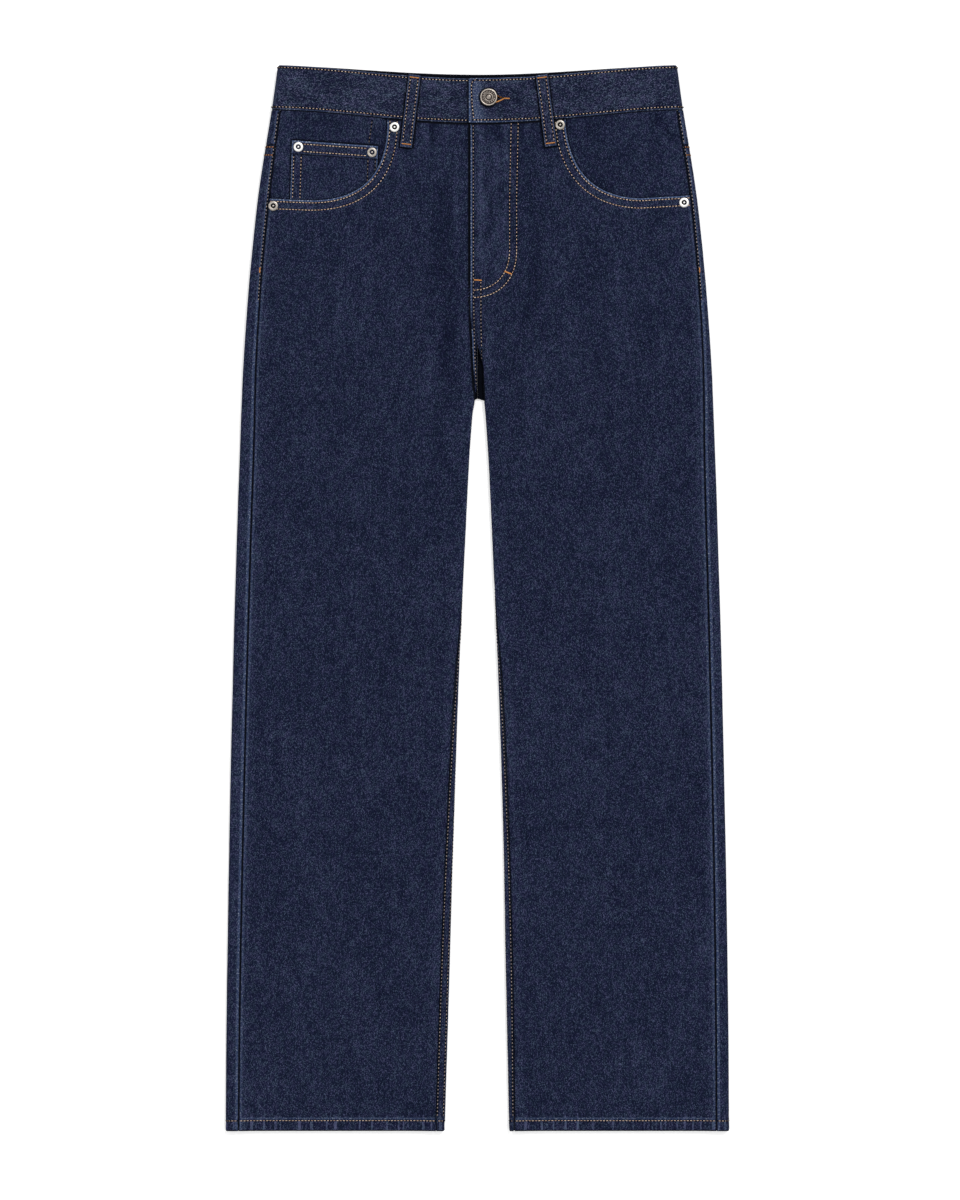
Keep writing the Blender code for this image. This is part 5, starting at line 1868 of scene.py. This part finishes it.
J_TURN = (188.0, 180.0)  # drops where the two rows turn, and their stitches nearly meet
fly_groups, long_groups = [], []
for size, turn in zip((J_IN, J_OUT), J_TURN):
    curve = np.array(fly_curve(size)[:-1], float)
    curve = along_line(curve, np.arange(0, lengths(curve)[-1], 0.5))
    upright = curve[:, 1] < turn
    fly_groups.append(stitches_in(from_above("front_left", curve[upright])))
    long_groups.append(stitches_in(from_above("front_left", curve[~upright]), *LONG))
fly_edge = [(-4.2, 59.5), (-4.1, 150), (-4.0, 225)]
fly_edge += [(-3.5, 250), (-3.1, 275), (-2.6, 290), (-1.9, 306), (-1.2, 320)]
edge_groups = [stitches_in(from_above("front_left", fly_edge))]
rise_row = [(3.4, 216), (3.6, 262), (4.1, 282)]
rise_groups = [stitches_in(from_above("front_left", rise_row))]

# %% Rows along the pocket mouths


def mouth_row(side, inset):
    """A row beside a pocket mouth: its upright part and its level part."""
    curve = mouth_curve(side)
    line = along_line(curve, np.arange(0, lengths(curve)[-1], 0.5))
    run = np.gradient(line, axis=0)
    run /= np.linalg.norm(run, axis=1, keepdims=True)
    line = line + inset * np.stack([-run[:, 1], run[:, 0]], axis=1)
    shown = (line[:, 1] > front_top(line[:, 0]) + 1) & (line[:, 0] < seam_across(side, line[:, 1]) - 1)
    level = run[:, 0] > 0.8 * run[:, 1]
    parts = [line[shown & ~level], line[shown & level]]
    return [from_above(f"front_{named(side)}", part * [side, 1]) for part in parts]


mouth_rows = [mouth_row(side, row) for side in (-1, 1) for row in MOUTH_ROWS]
mouth_groups = [stitches_in(upright) for upright, _ in mouth_rows]
long_groups += [stitches_in(level, *LONG) for _, level in mouth_rows]

# %% Rows on the coin pocket and its facing


def coin_row(a, b):
    """A straight row between two places across and down the coin pocket."""
    share = np.linspace(0, 1, 12)[:, None]
    across, down = (np.array(a) + (np.array(b) - np.array(a)) * share).T
    return from_above("coin_pocket_cloth", np.stack(coin_place(across, down), axis=1))


coin_hem_rows = [coin_row((11.5, row), (COIN_WIDTH - 11.5, row)) for row in COIN_HEM_ROWS]
long_groups += [stitches_in(row, *LONG) for row in coin_hem_rows]
crotch_row = [(4.1, 284.5), (4.4, 300), (4.4, 312)]
coin_groups = [stitches_in(from_above("front_left", crotch_row))]
coin_outer_groups = []
for inset in COIN_SIDE_ROWS:
    coin_outer_groups.append(stitches_in(coin_row((inset, 15.0), (inset, 58.0))))
    coin_groups.append(stitches_in(coin_row((COIN_WIDTH - inset, 14.0), (COIN_WIDTH - inset, 44.0))))
facing_row = [(-105.3, 55.5), (-108.6, 78.0)]
coin_groups.append(stitches_in(from_above("facing_right", facing_row)))

# %% Rows down the seams


def seam_row(piece, side, wrap_of, first, last):
    """A row down a seam, from its wrap at each drop."""
    drop = np.linspace(first, last, 200)
    return from_skin(piece, side, wrap_of(side, drop), drop)


def beside_seam(side, drop):
    return seam_wrap(side, drop) - GAP / 2 - 1.2


def beside_inseam(inset):
    def wrap_of(side, drop):
        return back_end(side, drop) + back_room(side, drop) + inset

    return wrap_of


side_groups, inseam_groups = [], []
for side in (-1, 1):
    yoke, back = f"yoke_back_{named(side)}", f"back_{named(side)}"
    side_groups.append(stitches_in(seam_row(yoke, side, beside_seam, 48, 78)))
    side_groups.append(stitches_in(seam_row(back, side, beside_seam, 83, 236)))
    for inset in (1.0, 7.1):
        inseam_groups.append(stitches_in(seam_row(back, side, beside_inseam(inset), 352, 1054)))

# %% Rows across the back


def across_back(side, piece, below):
    """A row across the back piece, this far below the yoke seam."""
    drop = np.full(240, YOKE_SIDE + below)
    share = np.linspace(0.004, 0.992, 240)
    for _ in range(3):
        start, end = seam_wrap(side, drop), back_end(side, drop)
        wrap = start + (end - start) * share
        drop = yoke_seam(skin(side, wrap, drop)[..., 0], wrap) + below
    return from_skin(piece, side, wrap, drop)


def patch_row(side, u, v):
    """A row on a back pocket, through places across and down it."""
    across, drop = patch_place(np.array(u, float), np.array(v, float))
    return from_above(f"patch_pocket_{named(side)}", np.stack([side * across, drop], axis=1), up=-1)


yoke_groups, hidden_groups = [], []
for side in (-1, 1):
    back = f"back_{named(side)}"
    for below in (2.0, 10.0):
        yoke_groups.append(stitches_in(across_back(side, back, below), *LONG))
    rows = []
    for inset in (0.016, 0.06):
        u, v = np.linspace(inset, 1 - inset, 31), np.linspace(0.02, 1 - inset, 20)
        rows += [(inset + 0 * v, v), (1 - inset + 0 * v, v), (u, 1 - inset + 0 * u)]
    u = np.linspace(0.01, 0.99, 20)
    rows += [(u, down + 0 * u) for down in (0.025, 0.10)]
    hidden_groups += [stitches_in(patch_row(side, *row)) for row in rows]
for x in (2.2, 8.4):
    places = [(x, 126.0), (x, 200.0), (x, 300.0), (x, 331.0)]
    hidden_groups.append(stitches_in(from_above("back_left", places, up=-1)))

# %% Rows along the hems and the belt loops
loop_groups, tack_groups, hem_groups = [], [], []
for side in (-1, 1):
    drop = np.full(200, LENGTH - HEM_ROW)
    share = np.linspace(0.006, 0.994, 200)
    ends = [front_end(side, drop), seam_wrap(side, drop), back_end(side, drop)]
    for part, start, end in zip(("front", "back"), ends, ends[1:]):
        row = from_skin(f"{part}_{named(side)}", side, start + (end - start) * share, drop)
        hem_groups.append(stitches_in(row, *LONG))

for loop in LOOPS:
    up = 1 if loop.on_front else -1
    length = loop_run(loop)[2]
    for off in (-LOOP_ROWS, LOOP_ROWS):
        down = np.linspace(4.2 / length, 1 - 4.8 / length, 12)
        places = np.stack(loop_place(loop, off + 0 * down, down), axis=1)
        loop_groups.append(stitches_in(from_above(f"{loop.name}_cloth", places, up)))
    for share in (2.6 / length, 1 - 3.2 / length):
        start, end = loop_place(loop, -4.7, share), loop_place(loop, 4.7, share)
        tack_groups.append(tack(f"{loop.name}_cloth", start, end, width=1.0, up=up))

# %% Bar tacks and the buttonhole's thread
BARS = [  # piece, start, end and width
    ("front_left", (-3.4, 214.9), (4.2, 215.4), 1.3),
    ("front_left", (27.0, 206.3), (34.4, 209.2), 1.5),
    ("back_right", (-217.3, 202.6), (-217.6, 207.4), 1.3),
    ("back_left", (222.0, 202.6), (222.2, 207.4), 1.3),
]
tack_groups += [tack(*bar) for bar in BARS]
hole_groups = []
upper_leg = [(15.5, 29.9), (19.7, 31.2), (23.2, 32.4), (26.4, 33.4)]
lower_leg = [(15.5, 38.0), (19.7, 37.2), (23.2, 35.7), (26.4, 34.1)]
for leg in (upper_leg, lower_leg):
    for a, b in zip(leg, leg[1:]):
        hole_groups.append(tack("waistband_cloth", a, b, width=1.2, pitch=0.45))
hole_groups.append(tack("waistband_cloth", (26.2, 33.7), (32.2, 33.9), width=1.2, pitch=0.5))

# %% Thread the needle
thread_mesh("thread_waistband", band_groups, tan_thread)
thread_mesh("thread_waistband_back", band_back_groups, tan_thread, lie=0.3)
thread_mesh("thread_fly", fly_groups, tan_thread, radius=0.29)
thread_mesh("thread_pocket_mouths", mouth_groups, tan_thread, radius=0.36)
thread_mesh("thread_coin_pocket", coin_groups, shaded_thread)
thread_mesh("thread_coin_pocket_outer", coin_outer_groups, tan_thread, radius=0.28)
thread_mesh("thread_side_seams", side_groups, pale_thread, radius=0.30)
thread_mesh("thread_inseams", inseam_groups + rise_groups + edge_groups, pale_thread, radius=0.31)
thread_mesh("thread_yoke_seams", yoke_groups, rust_thread, radius=0.36, lie=0.6, share=LONG_SHARE)
thread_mesh("thread_seat", hidden_groups, tan_thread, lie=0.3)
thread_mesh("thread_long_stitches", long_groups, tan_thread, radius=0.29, share=LONG_SHARE)
thread_mesh("thread_hems", hem_groups, tan_thread, radius=0.215, share=LONG_SHARE)
thread_mesh("thread_belt_loops", loop_groups, tan_thread, radius=0.29)
thread_mesh("thread_bar_tacks", tack_groups, rust_thread, radius=0.34, share=1)
thread_mesh("thread_buttonhole", hole_groups, rust_thread, radius=0.32, share=1)

# %% [markdown]
# ## Button and rivets
#
# These are stamped and turned from metal, so each is a profile spun round its middle. The
# profile's corners are cut away twice to round them. The button carries a plain ring of small
# ridges, and a rivet has a bright ring round a dark sunk one, with the post's tip in it.

# %% Spun metal


def rounded(profile, times=2):
    """A profile with its corners cut away, so that they turn round."""
    points = np.array(profile, float)
    for _ in range(times):
        a, b = points[:-1], points[1:]
        cut = np.stack([a * 0.75 + b * 0.25, a * 0.25 + b * 0.75], axis=1)
        points = np.concatenate([points[:1], cut.reshape(-1, 3), points[-1:]])
    return points


def spun(name, node, profile, steps, material, beads=None):
    """A profile of (radius, height, darkness) spun round a node's middle."""
    low, high = (np.array(corner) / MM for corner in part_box(node))
    points = rounded(profile)
    turn = np.linspace(0, 2 * math.pi, steps, endpoint=False)
    radius, height, dark = (column[:, None] + 0 * turn for column in points.T)
    if beads:
        count, inner, outer, rise = beads
        ring = smooth(inner, inner + 0.4, radius) * (1 - smooth(outer - 0.4, outer, radius))
        bead = np.maximum(0, np.cos(count * turn + 1.3 * np.sin(3 * turn)))
        height = height + rise * ring * bead
        dark = dark - 0.7 * ring * bead
    spot = np.stack([radius * np.cos(turn), radius * np.sin(turn), height], axis=-1)
    centre = np.array([(low[0] + high[0]) / 2, (low[1] + high[1]) / 2, low[2]])
    index = np.arange(len(points) * steps).reshape(len(points), steps)
    after = np.roll(index, -1, axis=1)
    quads = np.stack([index[:-1], index[1:], after[1:], after[:-1]], axis=-1).reshape(-1, 4)
    mesh = bpy.data.meshes.new(name)
    mesh.from_pydata((spot + centre).reshape(-1, 3) * MM, [], quads.tolist())
    put(mesh, "cloth", "FLOAT_VECTOR", spot * MM)
    put(mesh, "recess", "FLOAT", dark)
    bm = bmesh.new()
    bm.from_mesh(mesh)
    bmesh.ops.remove_doubles(bm, verts=bm.verts, dist=0.000002)
    bmesh.ops.recalc_face_normals(bm, faces=bm.faces)
    bm.to_mesh(mesh)
    bm.free()
    piece = place_mesh(name, mesh, [material], smooth_above=50)
    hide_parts(node)
    print(name, len(mesh.polygons), "faces")
    return piece


def metal(name, bright, dull, recess_colour, roughness):
    """Plated metal that has gone dull in patches, and dark in its recesses."""
    r = Recipe(name, roughness=roughness, specular=0.5, metallic=1.0)
    at = r.kept("cloth", "Vector")
    patches = r.noise(at, (0.0016, 0.0016), detail=3.0)
    colour = r.mix(r.total(-0.6, [(patches, 2.2)]), bright, dull)
    colour = r.mix(r.maths("MAXIMUM", r.kept("recess"), 0.0, clamp=True), colour, recess_colour)
    r.feed(r.shader.inputs["Base Color"], colour)
    r.bump(patches, 0.0001, 0.25)
    return r.material


antique = metal("antique_nickel", srgb(238, 228, 217), srgb(196, 184, 172), srgb(62, 54, 52), 0.38)
# One nickel in a lit copy and a darker copy: the lit copy paints the light that some rivets catch.
bright_nickel = metal("bright_nickel", srgb(255, 254, 252), srgb(244, 242, 239), srgb(8, 7, 9), 0.5)
grey_nickel = metal("grey_nickel", srgb(212, 205, 197), srgb(150, 142, 132), srgb(10, 9, 11), 0.40)

# %% The button
SHANK_RADIUS = 2.4
r = BUTTON_RADIUS
button_profile = [  # radius, height and darkness
    (0, 6.0, 0.50), (1.4, 5.95, 0.55), (2.2, 5.75, 0.65), (2.5, 5.3, 1.2), (3.3, 5.25, 1.2),
    (3.6, 5.6, 0.4), (4.0, 5.6, 0.4), (4.2, 5.3, 1.1), (5.6, 5.2, 1.1), (7.0, 5.3, 1.2),
    (7.3, 5.6, 0.3), (7.6, 5.9, 0.0), (8.0, 5.8, 0.05), (r, 5.1, 0.45), (r, 4.2, 0.9),
    (r - 0.8, 3.6, 0.5), (SHANK_RADIUS, 3.4, 0.8), (SHANK_RADIUS, 0.0, 0.8), (0, 0.0, 0.8),
]
spun("jeans_button", "button", button_profile, 156, antique, beads=(19, 4.3, 6.6, 0.34))

# %% The rivets
rivet_profile = [
    (0, 1.35, -0.2), (0.7, 1.3, -0.2), (0.95, 1.1, 0.3), (1.1, 0.4, 1.5), (2.25, 0.4, 1.5),
    (2.4, 1.1, 0.9), (2.7, 1.38, 0.0), (3.6, 1.4, 0.0), (4.5, 1.15, 0.0), (5.0, 0.5, 0.2),
    (5.0, 0.0, 0.3), (0, 0.0, 0.5),
]
# These rivets get the lit copy of the nickel, as painted light.
LIT_RIVETS = ("rivet_right_pocket_top", "rivet_left_pocket_side", "rivet_coin_pocket_outer")
for node in [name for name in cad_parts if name.startswith("rivet_")]:
    plate = bright_nickel if node in LIT_RIVETS else grey_nickel
    spun(f"{node}_cap", node, rivet_profile, 48, plate)

# %% [markdown]
# ## The cloth's cut sizes
#
# The flat size that each sheet was cut to is printed. The sizes come from the grids'
# own places on the pattern, so they are measured and not guessed.

UPPER_LONG = 0.07  # metres that a front's upper grid adds to its length
UPPER_AREA = 0.105 * 0.066
for side in (-1, 1):
    where = named(side)
    wrap, drop = front_grids(side)[1]
    wide, long, area = sized(wrap, drop)
    cut_sizes[f"front_{where}"] = (wide, long + UPPER_LONG, area + UPPER_AREA)
for name, (wide, long, area) in cut_sizes.items():
    kind, where = name.rsplit("_", 1)
    print(name, "cut", round(wide * 1000), "x", round(long * 1000), "mm")

# %% [markdown]
# ## Floor, light and camera
#
# The jeans lie on a plain pale floor that glows a little, as a light table does, so that it
# stays clear white right up to them. They are seen from straight above through a long lens,
# so that nothing leans outwards. Light from all round keeps the denim even, a broad lamp
# past the waist puts some shade below the seams, and a weak one fills from the side.

# %% Floor
FLOOR_SIZE = 4.0
FLOOR_LEVEL = -0.0006  # just under the jeans
FLOOR_GLOW = 0.3
floor_mesh = bpy.data.meshes.new("floor")
bm = bmesh.new()
bmesh.ops.create_grid(bm, x_segments=1, y_segments=1, size=FLOOR_SIZE)
bm.to_mesh(floor_mesh)
bm.free()
floor = bpy.data.objects.new("floor", floor_mesh)
floor.location.z = FLOOR_LEVEL
bpy.context.scene.collection.objects.link(floor)
pale = Recipe("floor_pale", roughness=0.9, specular=0.1)
pale.shader.inputs["Base Color"].default_value = (0.93, 0.93, 0.93, 1)
pale.shader.inputs["Emission Color"].default_value = (1, 1, 1, 1)
pale.shader.inputs["Emission Strength"].default_value = FLOOR_GLOW
floor_mesh.materials.append(pale.material)

# %% Light
SKY = 0.72  # strength of the light that comes evenly from all round
world = bpy.data.worlds.new("studio")
bpy.context.scene.world = world
world.use_nodes = True
world.node_tree.nodes["Background"].inputs["Color"].default_value = (1, 1, 1, 1)
world.node_tree.nodes["Background"].inputs["Strength"].default_value = SKY
LAMPS = {  # where it comes from, how strong it is, and how many degrees wide
    "lamp_waist": ((0.55, 1.0, 1.15), 1.5, 12),
    "lamp_side": ((-0.9, -0.1, 1.3), 0.35, 40),
}
for name, (place, strength, width) in LAMPS.items():
    lamp = bpy.data.lights.new(name, "SUN")
    lamp.energy = strength
    lamp.angle = math.radians(width)
    lamp_object = bpy.data.objects.new(name, lamp)
    lamp_object.location = place
    lamp_object.rotation_euler = (-Vector(place)).to_track_quat("-Z", "Y").to_euler()
    bpy.context.scene.collection.objects.link(lamp_object)
bpy.context.scene.view_settings.view_transform = "Standard"

# %% Camera
LENS = 100.0
SENSOR = 36.0
VIEW_HIGH = 1.2  # metres that the picture's long side takes in
JEANS_LEVEL = 0.006
CENTRE = (0.0026, -0.00175)
camera = bpy.data.cameras.new("camera")
camera.lens = LENS
camera.sensor_width = SENSOR
camera.clip_end = 50
camera_object = bpy.data.objects.new("camera", camera)
camera_object.location = (*CENTRE, JEANS_LEVEL + VIEW_HIGH * LENS / SENSOR)
bpy.context.scene.collection.objects.link(camera_object)
bpy.context.scene.camera = camera_object
